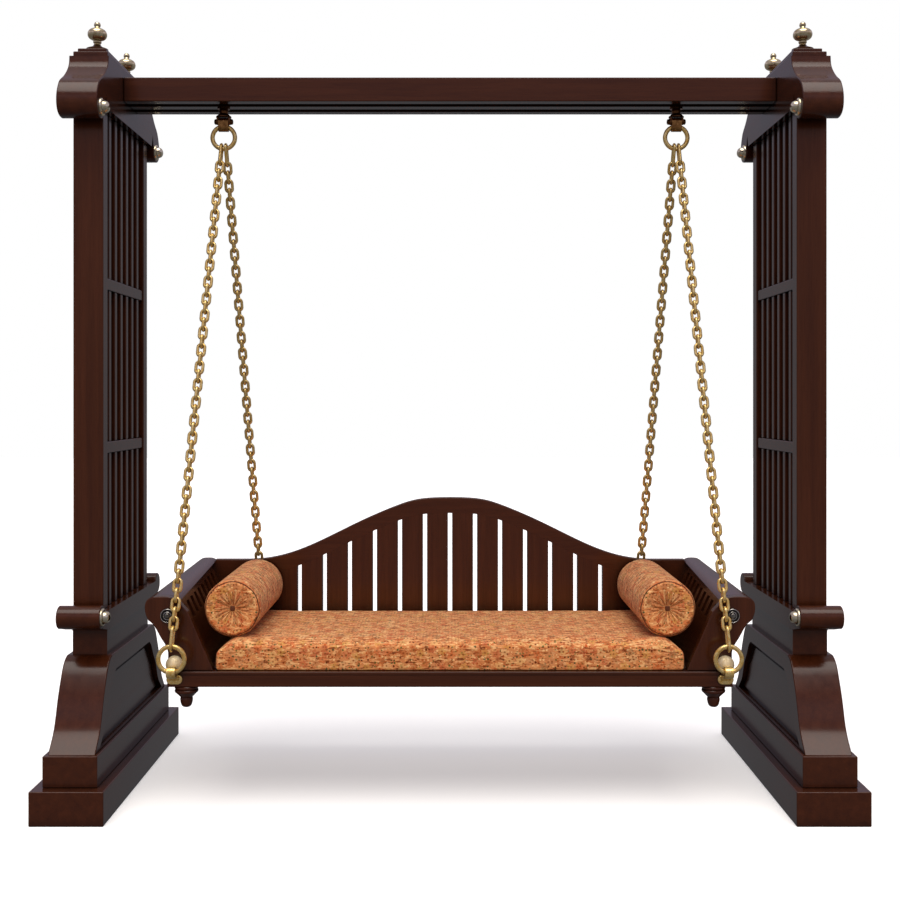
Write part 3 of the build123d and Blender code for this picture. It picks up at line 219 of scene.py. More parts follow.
def apply_place(thing: Piece) -> None:
    """Moves an object's place, turn and scale into its mesh."""
    make_active(thing)
    bpy.ops.object.transform_apply(location=True, rotation=True, scale=True)


def subdivide(thing: Piece) -> None:
    """Rounds a piece with one level of subdivision.

    Args:
        thing: the piece, which is already active.
    """
    smoother = thing.modifiers.new("smooth", "SUBSURF")
    smoother.levels = 1
    smoother.render_levels = 1
    bpy.ops.object.modifier_apply(modifier=smoother.name)


def add_ring(name: str, place: Vector, radius: float, thickness: float, segments: int) -> Piece:
    """Adds a smooth ring that faces along Y.

    Args:
        name: the piece's name.
        place: the ring's middle.
        radius: the ring's radius, to the middle of its thickness.
        thickness: the radius of its round section.
        segments: the number of sides round the ring.

    Returns:
        The ring.
    """
    deselect()
    bpy.ops.mesh.primitive_torus_add(
        location=place,
        rotation=(math.pi / 2, 0, 0),
        major_segments=segments,
        minor_segments=10,
        major_radius=radius,
        minor_radius=thickness,
    )
    ring = bpy.context.active_object
    ring.name = name
    apply_place(ring)
    bpy.ops.object.shade_smooth()
    return ring


def vertex_places(thing: Piece) -> np.ndarray:
    """Reads the places of an object's vertices, as rows of x, y and z."""
    return np.array([vertex.co[:] for vertex in thing.data.vertices])


def dress(thing: Piece, material: Material) -> None:
    """Gives every face of an object one material."""
    thing.data.materials.clear()
    thing.data.materials.append(material)


# ------------------------------------------------------------------ finishes
class Grain(Enum):
    """The direction in which the wood's grain runs."""

    ALONG_X = 0
    ALONG_Y = 1
    ALONG_Z = 2


@dataclass(frozen=True)
class LacqueredSheesham:
    """Sheesham, given an espresso stain, sanded and sprayed with semi-gloss lacquer."""

    grain: Grain
    streak_width: float = 22 * MM
    streak_length: float = 600 * MM
    # Real pores are 0.2 mm wide. They are drawn coarser, so that they show.
    pore_width: float = 2.4 * MM
    pore_length: float = 60 * MM
    figure: Stops = ((0.3, "391b0e"), (0.5, "3f1f0f"), (0.7, "462312"))
    pore_shade: Stops = ((0.36, "f0ebe9"), (0.5, "ffffff"))
    pore_relief: float = 0.02 * MM
    pore_strength: float = 0.1
    # Painted shade: how far round a point the darkening in corners reaches, its colour and its
    # strength.
    painted_shade_reach: float = 50 * MM
    painted_shade_colour: str = "0e0604"
    painted_shade_strength: float = 0.88
    # Sprayed lacquer is less even than moulded plastic: its gloss drifts with the grain under it.
    roughness_low: float = 0.18
    roughness_high: float = 0.23
    ior: float = 1.48
    specular: float = 0.32
    coat: float = 0.1
    coat_roughness: float = 0.1

    def scale(self, across: float, along: float) -> tuple[float, float, float]:
        """The mapping scale that stretches a pattern along the grain.

        Args:
            across: the pattern's size across the grain, in metres.
            along: its size along the grain.

        Returns:
            The scale in x, y and z.
        """
        sizes = [1 / across] * 3
        sizes[self.grain.value] = 1 / along
        return sizes[0], sizes[1], sizes[2]

    def material(self) -> Material:
        """Makes the material: the eye gets dark red-brown figure under a clear, soft gloss.

        Returns:
            The material, with its grain along the direction that it was given.
        """
        material, tree, output = new_material(f"sheesham_{self.grain.name.lower()}")
        place = add_node(tree, "ShaderNodeTexCoord").outputs["Object"]
        streak_place = add_node(
            tree, "ShaderNodeMapping",
            inputs={"Vector": place, "Scale": self.scale(self.streak_width, self.streak_length)},
        )
        streaks = add_node(
            tree, "ShaderNodeTexNoise",
            inputs={
                "Vector": streak_place.outputs[0],
                "Scale": 1.0,
                "Detail": 5.0,
                "Roughness": 0.6,
                "Distortion": 0.2,
            },
        )
        pore_place = add_node(
            tree, "ShaderNodeMapping",
            inputs={"Vector": place, "Scale": self.scale(self.pore_width, self.pore_length)},
        )
        pores = add_node(
            tree, "ShaderNodeTexNoise",
            inputs={"Vector": pore_place.outputs[0], "Scale": 1.0, "Detail": 2.0},
        )
        figure = add_node(tree, "ShaderNodeValToRGB", inputs={"Fac": streaks.outputs["Fac"]})
        fill_ramp(figure, self.figure)
        pore_ramp = add_node(tree, "ShaderNodeValToRGB", inputs={"Fac": pores.outputs["Fac"]})
        fill_ramp(pore_ramp, self.pore_shade)
        colour = add_node(
            tree, "ShaderNodeMix",
            {"data_type": "RGBA", "blend_type": "MULTIPLY"},
            {0: 1.0, 6: figure.outputs["Color"], 7: pore_ramp.outputs["Color"]},
        )
        # Painted shade: the colour darkens to near-black in corners and recesses, where shade
        # falls.
        corner = hollow_mask(tree, self.painted_shade_reach, self.painted_shade_strength, samples=6)
        with_painted_shade = add_node(
            tree, "ShaderNodeMix", {"data_type": "RGBA"},
            {0: corner, 6: colour.outputs[2], 7: linear(self.painted_shade_colour)},
        )
        gloss = add_node(
            tree, "ShaderNodeMapRange",
            inputs={
                "Value": streaks.outputs["Fac"],
                "From Min": NOISE_LOW,
                "From Max": NOISE_HIGH,
                "To Min": self.roughness_low,
                "To Max": self.roughness_high,
            },
        )
        relief = add_node(
            tree, "ShaderNodeBump",
            inputs={
                "Strength": self.pore_strength,
                "Distance": self.pore_relief,
                "Height": pores.outputs["Fac"],
            },
        )
        shader = add_node(
            tree, "ShaderNodeBsdfPrincipled",
            inputs={
                "Base Color": with_painted_shade.outputs[2],
                "Roughness": gloss.outputs[0],
                "IOR": self.ior,
                "Specular IOR Level": self.specular,
                "Coat Weight": self.coat,
                "Coat Roughness": self.coat_roughness,
                "Normal": relief.outputs[0],
            },
        )
        tree.links.new(shader.outputs[0], output.inputs["Surface"])
        return material


@dataclass(frozen=True)
class AgedMetal:
    """A cast or bent metal, plated, aged dark in its hollows and rubbed bright on its rounds."""

    name: str
    bright: str
    body: str
    hollow: str
    roughness: float = 0.3
    metallic: float = 1.0
    patch: float = 9 * MM
    hollow_reach: float = 3.5 * MM
    hollow_strength: float = 0.85
    relief: float = 0.3
    relief_depth: float = 0.3 * MM
    # A second metal below this height, such as a copper-plated dish under a gilt bulb.
    lower: str | None = None
    lower_top: float = 0.0

    def material(self) -> Material:
        """Makes the material: the eye gets a warm shine with brown in the joints.

        Returns:
            The material.
        """
        material, tree, output = new_material(self.name)
        place = add_node(tree, "ShaderNodeTexCoord").outputs["Object"]
        patches = add_node(
            tree, "ShaderNodeTexNoise",
            inputs={"Vector": place, "Scale": 1 / self.patch, "Detail": 4.0, "Roughness": 0.65},
        )
        tone = add_node(tree, "ShaderNodeValToRGB", inputs={"Fac": patches.outputs["Fac"]})
        fill_ramp(tone, ((0.36, self.body), (0.62, self.bright)))
        surface = tone.outputs["Color"]
        if self.lower:
            height = add_node(tree, "ShaderNodeSeparateXYZ", inputs={0: place})
            is_low = add_node(
                tree, "ShaderNodeMath", {"operation": "LESS_THAN"},
                {0: height.outputs["Z"], 1: self.lower_top},
            )
            surface = add_node(
                tree, "ShaderNodeMix", {"data_type": "RGBA"},
                {0: is_low.outputs[0], 6: surface, 7: linear(self.lower)},
            ).outputs[2]
        depth = hollow_mask(tree, self.hollow_reach, self.hollow_strength, samples=8)
        colour = add_node(
            tree, "ShaderNodeMix", {"data_type": "RGBA"},
            {0: depth, 6: surface, 7: linear(self.hollow)},
        )
        rough = add_node(
            tree, "ShaderNodeMapRange",
            inputs={
                "Value": patches.outputs["Fac"],
                "From Min": NOISE_LOW,
                "From Max": NOISE_HIGH,
                "To Min": self.roughness + 0.1,
                "To Max": self.roughness - 0.06,
            },
        )
        relief = add_node(
            tree, "ShaderNodeBump",
            inputs={
                "Strength": self.relief,
                "Distance": self.relief_depth,
                "Height": patches.outputs["Fac"],
            },
        )
        shader = add_node(
            tree, "ShaderNodeBsdfPrincipled",
            inputs={
                "Base Color": colour.outputs[2],
                "Metallic": self.metallic,
                "Roughness": rough.outputs[0],
                "Normal": relief.outputs[0],
            },
        )
        tree.links.new(shader.outputs[0], output.inputs["Surface"])
        return material


@dataclass(frozen=True)
class FloralBrocade:
    """A woven cotton brocade: small five-petalled flowers and flecks on a terracotta ground."""

    name: str = "floral_brocade"
    flower_pitch: float = 30 * MM
    flower_scatter: float = 0.8
    fleck_pitch: float = 9 * MM
    fleck_scatter: float = 1.0
    stroke: tuple[float, float] = (25 * MM, 6.5 * MM)
    # Real threads are 0.4 mm apart. They are drawn coarser, so that they show.
    thread_pitch: float = 2.2 * MM
    crease_width: float = 26 * MM
    ground: tuple[str, str, str] = ("c06a3c", "d8935c", "cb7a50")
    flowers: tuple[str, ...] = (
        "e6b880", "d2703f", "cf9a50", "c4643f",
        "c98a5c", "e2b474", "b4602f", "a47850",
    )
    flower_share: float = 0.6
    petals: float = 5.0
    # A flower's mean radius, and how far its petals' tips and notches lie from it, in pitches.
    petal_reach: float = 0.33
    petal_notch: float = 0.10
    eye_radius: float = 0.09
    eye: str = "84451f"
    flecks: tuple[str, ...] = (
        "f2cb90", "c25a2a", "e8a060", "a85024",
        "6b3218", "4e5230", "5f622e", "e6b478",
    )
    fleck_least: float = 0.12
    fleck_range: float = 0.26
    leaves: tuple[tuple[float, float, str], ...] = ((0.57, 0.63, "f0c48a"), (0.43, 0.37, "6b2f14"))
    leaf_strength: float = 0.85
    # Painted shade: the colour laid into the pleats' folds, and how much of it.
    fold: str = "4a200c"
    fold_shade_strength: float = 0.65
    roughness: float = 0.82
    specular: float = 0.15
    sheen: float = 0.06
    sheen_roughness: float = 0.5

    @staticmethod
    def scatter(tree: NodeTree, place: Socket, pitch: float, randomness: float) -> tuple:
        """Scatters one motif's places over the cloth.

        Args:
            tree: the node tree.
            place: the cloth's place, in metres.
            pitch: the mean distance between two motifs.
            randomness: how far they stray from even rows, from 0 to 1.

        Returns:
            The cloth's place in pitches, and the node that gives each motif's distance and colour.
        """
        scaled = add_node(
            tree, "ShaderNodeVectorMath", {"operation": "SCALE"},
            {0: place, "Scale": 1 / pitch},
        ).outputs[0]
        cells = add_node(
            tree, "ShaderNodeTexVoronoi", {"voronoi_dimensions": "2D"},
            {"Vector": scaled, "Scale": 1.0, "Randomness": randomness},
        )
        return scaled, cells

    def blossoms(self, tree: NodeTree, place: Socket) -> tuple[Socket, Socket]:
        """The flower layer.

        Args:
            tree: the node tree.
            place: the cloth's place, in metres.

        Returns:
            The flowers' colour and their mask.
        """
        scaled, cells = self.scatter(tree, place, self.flower_pitch, self.flower_scatter)
        arm = add_node(
            tree, "ShaderNodeVectorMath", {"operation": "SUBTRACT"},
            {0: scaled, 1: cells.outputs["Position"]},
        )
        parts = add_node(tree, "ShaderNodeSeparateXYZ", inputs={0: arm.outputs[0]})
        angle = add_node(
            tree, "ShaderNodeMath", {"operation": "ARCTAN2"},
            {0: parts.outputs["Y"], 1: parts.outputs["X"]},
        )
        fifth = add_node(
            tree, "ShaderNodeMath", {"operation": "MULTIPLY"},
            {0: angle.outputs[0], 1: self.petals},
        )
        wave = add_node(tree, "ShaderNodeMath", {"operation": "COSINE"}, {0: fifth.outputs[0]})
        edge = add_node(
            tree, "ShaderNodeMath", {"operation": "MULTIPLY_ADD"},
            {0: wave.outputs[0], 1: self.petal_notch, 2: self.petal_reach},
        )
        inside = add_node(
            tree, "ShaderNodeMath", {"operation": "LESS_THAN"},
            {0: cells.outputs["Distance"], 1: edge.outputs[0]},
        )
        pick = add_node(tree, "ShaderNodeSeparateColor", inputs={0: cells.outputs["Color"]})
        tones = add_node(tree, "ShaderNodeValToRGB", inputs={"Fac": pick.outputs["Red"]})
        fill_ramp(tones, equal_stops(self.flowers), constant=True)
        eye = add_node(
            tree, "ShaderNodeMath", {"operation": "LESS_THAN"},
            {0: cells.outputs["Distance"], 1: self.eye_radius},
        )
        colour = add_node(
            tree, "ShaderNodeMix", {"data_type": "RGBA"},
            {0: eye.outputs[0], 6: tones.outputs["Color"], 7: linear(self.eye)},
        )
        return colour.outputs[2], inside.outputs[0]

    def strokes(self, tree: NodeTree, place: Socket, below: Socket) -> Socket:
        """The layer of leaves: short light and dark strokes along the cloth.

        Args:
            tree: the node tree.
            place: the cloth's place, in metres.
            below: the colour under the strokes.

        Returns:
            The colour with the strokes on it.
        """
        long, wide = self.stroke
        stretched = add_node(
            tree, "ShaderNodeMapping",
            inputs={"Vector": place, "Scale": (1 / long, 1 / wide, 1.0)},
        )
        noise = add_node(
            tree, "ShaderNodeTexNoise", {"noise_dimensions": "2D"},
            {
                "Vector": stretched.outputs[0],
                "Scale": 1.0,
                "Detail": 3.0,
                "Roughness": 0.65,
                "Distortion": 0.5,
            },
        )
        colour = below
        for start, end, tone in self.leaves:
            mask = add_node(
                tree, "ShaderNodeMapRange",
                inputs={
                    "Value": noise.outputs["Fac"],
                    "From Min": start,
                    "From Max": end,
                    "To Max": self.leaf_strength,
                },
            )
            colour = add_node(
                tree, "ShaderNodeMix", {"data_type": "RGBA"},
                {0: mask.outputs[0], 6: colour, 7: linear(tone)},
            ).outputs[2]
        return colour

    def material(self) -> Material:
        """Makes the material: the eye gets a dull, close, many-coloured cloth.

        Returns:
            The material, which needs the cloth's own UV map.
        """
        material, tree, output = new_material(self.name)
        place = add_node(tree, "ShaderNodeUVMap", {"uv_map": CLOTH_UV}).outputs[0]
        ground_noise = add_node(
            tree, "ShaderNodeTexNoise",
            inputs={
                "Vector": place,
                "Scale": 1 / self.flower_pitch,
                "Detail": 6.0,
                "Roughness": 0.7,
            },
        )
        ground = add_node(tree, "ShaderNodeValToRGB", inputs={"Fac": ground_noise.outputs["Fac"]})
        fill_ramp(ground, tuple(zip((0.35, 0.52, 0.68), self.ground)))
        _, cells = self.scatter(tree, place, self.fleck_pitch, self.fleck_scatter)
        pick = add_node(tree, "ShaderNodeSeparateColor", inputs={0: cells.outputs["Color"]})
        fleck_ramp = add_node(tree, "ShaderNodeValToRGB", inputs={"Fac": pick.outputs["Red"]})
        fill_ramp(fleck_ramp, equal_stops(self.flecks), constant=True)
        fleck_size = add_node(
            tree, "ShaderNodeMath", {"operation": "MULTIPLY_ADD"},
            {0: pick.outputs["Green"], 1: self.fleck_range, 2: self.fleck_least},
        )
        fleck_mask = add_node(
            tree, "ShaderNodeMath", {"operation": "LESS_THAN"},
            {0: cells.outputs["Distance"], 1: fleck_size.outputs[0]},
        )
        with_flecks = add_node(
            tree, "ShaderNodeMix", {"data_type": "RGBA"},
            {
                0: fleck_mask.outputs[0],
                6: ground.outputs["Color"],
                7: fleck_ramp.outputs["Color"],
            },
        )
        strokes = self.strokes(tree, place, with_flecks.outputs[2])
        petals, inside = self.blossoms(tree, place)
        share = add_node(
            tree, "ShaderNodeMath", {"operation": "MULTIPLY"},
            {0: inside, 1: self.flower_share},
        )
        colour = add_node(
            tree, "ShaderNodeMix", {"data_type": "RGBA"},
            {0: share.outputs[0], 6: strokes, 7: petals},
        )
        # Painted shade: the cloth darkens in the pleats' folds at the bolster ends, where shade
        # falls.
        fold = add_node(tree, "ShaderNodeAttribute", {"attribute_name": FOLD_DEPTH})
        shade = add_node(
            tree, "ShaderNodeMath", {"operation": "MULTIPLY"},
            {0: fold.outputs["Fac"], 1: self.fold_shade_strength},
        )
        with_fold_shade = add_node(
            tree, "ShaderNodeMix", {"data_type": "RGBA"},
            {0: shade.outputs[0], 6: colour.outputs[2], 7: linear(self.fold)},
        )
        threads = add_node(
            tree, "ShaderNodeTexWave", {"bands_direction": "DIAGONAL"},
            {"Vector": place, "Scale": 1 / self.thread_pitch / 2, "Distortion": 1.5},
        )
        creases = add_node(
            tree, "ShaderNodeTexNoise",
            inputs={"Vector": place, "Scale": 1 / self.crease_width, "Detail": 3.0},
        )
        fine = add_node(
            tree, "ShaderNodeBump",
            inputs={"Strength": 0.25, "Distance": 0.5 * MM, "Height": threads.outputs["Fac"]},
        )
        relief = add_node(
            tree, "ShaderNodeBump",
            inputs={
                "Strength": 0.5,
                "Distance": 3 * MM,
                "Height": creases.outputs["Fac"],
                "Normal": fine.outputs[0],
            },
        )
        shader = add_node(
            tree, "ShaderNodeBsdfPrincipled",
            inputs={
                "Base Color": with_fold_shade.outputs[2],
                "Roughness": self.roughness,
                "Specular IOR Level": self.specular,
                "Sheen Weight": self.sheen,
                "Sheen Roughness": self.sheen_roughness,
                "Normal": relief.outputs[0],
            },
        )
        tree.links.new(shader.outputs[0], output.inputs["Surface"])
        return material


# ------------------------------------------------------------------ the frame's own parts
@dataclass
class Frame:
    """The carved, turned, cast and forged parts, which keep their shapes and get their finishes."""

    nodes: dict
    record: dict
    along_x: tuple[str, ...] = ("beam", "front_rail", "rear_rail", "crest_rail", "seat_deck")
    along_y: tuple[str, ...] = (
        "plinth",
        "step_block",
        "pedestal",
        "neck_block",
        "base_scroll",
        "tower_rails",
        "capital",
        "cap_boards",
        "side_rails",
        "deck_bearers",
        "arm_rails",
        "arm_panels",
    )
    copper: str = "hanger_fork"
    finial_dish: float = 24 * MM

    def wood_grain(self, node: str) -> Grain:
        """The direction in which a wooden node's grain runs.

        Args:
            node: the node's name.

        Returns:
            The direction.
        """
        if node.startswith(self.along_x):
            return Grain.ALONG_X
        if node.startswith(self.along_y):
            return Grain.ALONG_Y
        return Grain.ALONG_Z

    def dress_all(self) -> None:
        """Gives every node its finish."""
        woods = {grain: LacqueredSheesham(grain).material() for grain in Grain}
        brass = AgedMetal("cast_brass", "fae2a0", "e2b860", "402a10", 0.26, 0.8).material()
        pale = AgedMetal("lacquered_pale_brass", "fbeecb", "f0dcae", "b8924f", 0.45, 0.5).material()
        dish_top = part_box("finials")[0][2] + self.finial_dish
        gilt = AgedMetal("silver_gilt", "f3ead2", "cdbd98", "4a3a28", 0.2, relief=0.1)
        finial = AgedMetal(
            name="silver_gilt_on_copper",
            bright="eedfba",
            body="c9b284",
            hollow="35281c",
            roughness=0.17,
            relief=0.06,
            lower="6b4a33",
            lower_top=dish_top,
        ).material()
        copper = AgedMetal("aged_copper", "8a5a38", "5c3a24", "1c0f0a", 0.3).material()
        bronze = AgedMetal("dark_bronze", "6b4426", "3c2616", "140c08", 0.34).material()
        strap = AgedMetal("copper_brass", "b98850", "8a5f34", "2a160c", 0.26).material()
        steel = AgedMetal("blackened_steel", "4a4542", "262221", "0c0a09", 0.24).material()
        screw = AgedMetal("nickel_plate", "a8a29a", "6b665f", "1a1715", 0.2).material()
        by_name = {
            "finials": finial,
            "scroll_rosettes": gilt.material(),
            "ball_knobs": pale,
            "hanger_straps": strap,
            "hanger_bolts": bronze,
            "hanger_nuts": bronze,
            "arm_rosettes": steel,
            "beam_fixings": steel,
            "arm_screws": screw,
        }
        slots = {row["node"]: row["material_slot"] for row in self.record["subparts"]}
        for name, thing in self.nodes.items():
            if name in by_name:
                dress(thing, by_name[name])
            elif name.startswith(self.copper):
                dress(thing, copper)
            elif slots[name] == "dark_wood":
                dress(thing, woods[self.wood_grain(name)])
            else:
                dress(thing, brass)
            LOG.info("%s: finished as %s", name, thing.data.materials[0].name)


# ------------------------------------------------------------------ upholstery
@dataclass
class Stuffing:
    """How a sewn cover is blown up into a pad."""

    voxel: float = 7 * MM
    weld: float = 0.01 * MM
    shrink: float = 3 * MM
    pressure: float = 4.0
    growth: float = 0.02
    cloth_mass: float = 0.3
    quality: int = 5
    frames: int = 20
    cap: float = 9 * MM

    def cover(self, node: str, name: str, box: Box) -> Piece:
        """Makes the cover from the plain solid's skin.

        Args:
            node: the node whose skin is copied.
            name: the new piece's name.
            box: the solid's lowest and highest corners.

        Returns:
            The cover, as an even net of small faces.
        """
        mesh = bpy.data.objects[node].data.copy()
        thing = bpy.data.objects.new(name, mesh)
        bpy.context.scene.collection.objects.link(thing)
        net = bmesh.new()
        net.from_mesh(mesh)
        bmesh.ops.remove_doubles(net, verts=net.verts, dist=self.weld)
        bmesh.ops.recalc_face_normals(net, faces=net.faces)
        net.to_mesh(mesh)
        net.free()
        make_active(thing)
        remesh = thing.modifiers.new("net", "REMESH")
        remesh.mode = "VOXEL"
        remesh.voxel_size = self.voxel
        bpy.ops.object.modifier_apply(modifier=remesh.name)
        middle = (box[0] + box[1]) / 2
        half = (box[1] - box[0]) / 2
        ratio = [(half[i] - self.shrink) / half[i] for i in range(3)]
        for vertex in thing.data.vertices:
            for axis in range(3):
                vertex.co[axis] = middle[axis] + (vertex.co[axis] - middle[axis]) * ratio[axis]
        return thing

    def fill(self, thing: Piece) -> None:
        """Blows the cover up and keeps the result, with no point moved further than the cap.

        Args:
            thing: the cover.
        """
        start = vertex_places(thing)
        make_active(thing)
        cloth = thing.modifiers.new("stuffing", "CLOTH")
        settings = cloth.settings
        settings.quality = self.quality
        settings.mass = self.cloth_mass
        settings.use_pressure = True
        settings.uniform_pressure_force = self.pressure
        settings.effector_weights.gravity = 0.0
        settings.shrink_min = -self.growth
        scene = bpy.context.scene
        for frame in range(1, self.frames + 1):
            scene.frame_set(frame)
        bpy.ops.object.modifier_apply(modifier=cloth.name)
        scene.frame_set(1)
        moved = vertex_places(thing) - start
        length = np.linalg.norm(moved, axis=1, keepdims=True)
        moved *= np.minimum(1.0, self.cap / np.maximum(length, 1e-9))
        for vertex, place in zip(thing.data.vertices, start + moved):
            vertex.co = place

    @staticmethod
    def finish(thing: Piece) -> None:
        """Adds one subdivision and smooth shading."""
        make_active(thing)
        subdivide(thing)
        thing.data.polygons.foreach_set("use_smooth", [True] * len(thing.data.polygons))


@dataclass
class SeatCushion:
    """The long loose cushion: a boxed cover with a soft crown."""

    material: Material
    crown: float = 6 * MM
    base_cut: float = 12 * MM
    bolster_margin: float = 10 * MM
    side_gap: float = 0.5 * MM
    front_gap: float = 0.3 * MM
    bolster_gap: float = 0.2 * MM
    stuffing: Stuffing = field(default_factory=lambda: Stuffing(voxel=9 * MM))

    def shape(self, thing: Piece, box: Box) -> None:
        """Settles the cushion on its deck and clear of the arms, the back and the bolsters.

        Args:
            thing: the stuffed cushion.
            box: the plain solid's lowest and highest corners.
        """
        low, high = box
        bolster_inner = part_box("bolster_right")[0][0]
        places = vertex_places(thing)
        # The cover's lower seam is square: what bulges under it is pressed flat on the deck.
        places[:, 2] = np.maximum(places[:, 2], places[:, 2].min() + self.base_cut)
        spans = [
            np.interp(places[:, i], (places[:, i].min(), places[:, i].max()), (low[i], high[i]))
            for i in range(3)
        ]
        for vertex, x, y, z in zip(thing.data.vertices, *spans):
            across = 1 - abs(2 * (y - (low.y + high.y) / 2) / (high.y - low.y)) ** 2
            along = 1 - abs(x / high.x) ** 4
            lift = self.crown * max(0.0, across) * max(0.0, along)
            height = (z - low.z) / (high.z - low.z)
            is_between = abs(x) < bolster_inner - self.bolster_margin
            top = high.z + (lift * 0.5 if is_between else -self.bolster_gap)
            vertex.co.z = min(max(z + lift * height**2, low.z), top)
            vertex.co.x = min(max(float(x), low.x + self.side_gap), high.x - self.side_gap)
            vertex.co.y = min(max(float(y), low.y + self.front_gap), high.y - self.side_gap)

    def unwrap(self, thing: Piece) -> None:
        """Lays the cloth on each panel: top and underside, front and rear, and both ends.

        Args:
            thing: the finished cushion.
        """
        mesh = thing.data
        layer = mesh.uv_layers.new(name=CLOTH_UV)
        for face in mesh.polygons:
            sizes = [abs(value) for value in face.normal]
            first, second = ((1, 2), (0, 2), (0, 1))[sizes.index(max(sizes))]
            for loop in face.loop_indices:
                place = mesh.vertices[mesh.loops[loop].vertex_index].co
                layer.data[loop].uv = (place[first], place[second])

    def build(self) -> Piece:
        """Makes the cushion in place of the plain solid.

        Returns:
            The finished cushion.
        """
        low, high = (Vector(corner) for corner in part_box("seat_cushion"))
        thing = self.stuffing.cover("seat_cushion", "cushion_pad", (low, high))
        self.stuffing.fill(thing)
        self.shape(thing, (low, high))
        self.stuffing.finish(thing)
        self.unwrap(thing)
        dress(thing, self.material)
        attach(thing, "cushion")
        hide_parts("seat_cushion")
        LOG.info("cushion_pad: %d faces", len(thing.data.polygons))
        return thing


@dataclass
class Bolsters:
    """The two round bolsters: a tube of cloth with gathered, buttoned and piped ends."""

    material: Material
    button_material: Material
    pleats: int = 17
    pleat_depth: float = 4.5 * MM
    pleat_sharpness: float = 2.2
    # The shares of the radius at which the pleats are full and, on average, run out.
    pleat_start: float = 0.2
    pleat_reach: float = 0.62
    pleat_sway: float = 0.16
    # A face belongs to the end panels where its normal leans this much along the bolster.
    end_facing: float = 0.75
    # The share of the half length that the gathering pulls in.
    gathered_end: float = 0.1
    dimple: float = 8 * MM
    dimple_width: float = 0.28
    hollow: float = 3 * MM
    hollow_width: float = 0.7
    gathered_share: float = 0.6
    piping_radius: float = 1.6 * MM
    piping_inset: float = 7 * MM
    button_radius: float = 7 * MM
    button_flatness: float = 0.5
    button_round: float = 0.42
    button_sink: float = 2 * MM
    skin_gap: float = 0.3 * MM
    stuffing: Stuffing = field(
        default_factory=lambda: Stuffing(voxel=5 * MM, cap=5 * MM, shrink=2.5 * MM)
    )

    def gather(self, thing: Piece, box: Box) -> None:
        """Pleats both ends towards a dimple in their middle, and notes how deep each point lies.

        Args:
            thing: the stuffed bolster.
            box: the plain solid's lowest and highest corners.
        """
        depth = thing.data.attributes.new(FOLD_DEPTH, "FLOAT", "POINT")
        low, high = box
        middle = (low + high) / 2
        radius = (high.x - low.x) / 2
        half = (high.y - low.y) / 2
        plain_share = 1 - self.gathered_end
        for vertex in thing.data.vertices:
            x = vertex.co.x - middle.x
            y = vertex.co.y - middle.y
            z = vertex.co.z - middle.z
            out = math.hypot(x, z) / radius
            near_end = max(0.0, (abs(y) / half - plain_share) / self.gathered_end)
            if near_end <= 0:
                continue
            turn = math.atan2(z, x)
            wave = 0.5 - 0.5 * math.cos(self.pleats * turn + 1.9 * math.sin(3 * turn + 0.6))
            fold = wave**self.pleat_sharpness
            reach = self.pleat_reach + self.pleat_sway * math.sin(5 * turn + 1.1)
            spread = min(1.0, out / self.pleat_start) * max(0.0, 1 - (out / reach) ** 2)
            depth.data[vertex.index].value = fold * spread
            inward = self.pleat_depth * fold * spread
            inward += self.dimple * math.exp(-((out / self.dimple_width) ** 2))
            inward += self.hollow * math.exp(-((out / self.hollow_width) ** 2))
            vertex.co.y -= math.copysign(inward * near_end, y)

    def keep_inside(self, thing: Piece, box: Box) -> None:
        """Holds the tube within the plain solid's round.

        Args:
            thing: the stuffed bolster.
            box: the plain solid's lowest and highest corners.
        """
        low, high = box
        middle = (low + high) / 2
        radius = (high.x - low.x) / 2 - self.skin_gap
        for vertex in thing.data.vertices:
            x = vertex.co.x - middle.x
            z = vertex.co.z - middle.z
            reach = math.hypot(x, z)
            if reach > radius:
                vertex.co.x = middle.x + x * radius / reach
                vertex.co.z = middle.z + z * radius / reach
            vertex.co.y = min(max(vertex.co.y, low.y), high.y)

    def unwrap(self, thing: Piece, middle: Vector, radius: float) -> None:
        """Rolls the cloth round the tube and gathers it towards the middle of the ends.

        Args:
            thing: the bolster, or a ring of its piping.
            middle: the bolster's middle.
            radius: the radius at which the cloth lies.
        """
        mesh = thing.data
        layer = mesh.uv_layers.new(name=CLOTH_UV)
        for face in mesh.polygons:
            is_end = abs(face.normal.y) > self.end_facing
            across = face.center.x - middle.x
            up = face.center.z - middle.z
            centre = math.atan2(up, across)
            is_gathered = is_end and math.hypot(across, up) < self.gathered_share * radius
            for loop in face.loop_indices:
                place = mesh.vertices[mesh.loops[loop].vertex_index].co - middle
                turn = math.atan2(place.z, place.x) - centre
                turn = (turn + math.pi) % (2 * math.pi) - math.pi
                around = (centre + turn) * radius
                if is_gathered:
                    layer.data[loop].uv = (math.hypot(place.x, place.z), around)
                elif is_end:
                    layer.data[loop].uv = (place.x, place.z)
                else:
                    layer.data[loop].uv = (around, place.y)

    def piping(self, name: str, middle: Vector, y: float, radius: float) -> Piece:
        """Makes one ring of piping.

        Args:
            name: the piece's name.
            middle: the bolster's middle.
            y: the ring's place along the bolster.
            radius: the ring's radius, to the middle of the cord.

        Returns:
            The ring.
        """
        place = Vector((middle.x, y, middle.z))
        ring = add_ring(name, place, radius, self.piping_radius, segments=96)
        mesh = ring.data
        while mesh.uv_layers:
            mesh.uv_layers.remove(mesh.uv_layers[0])
        self.unwrap(ring, middle, radius)
        return ring

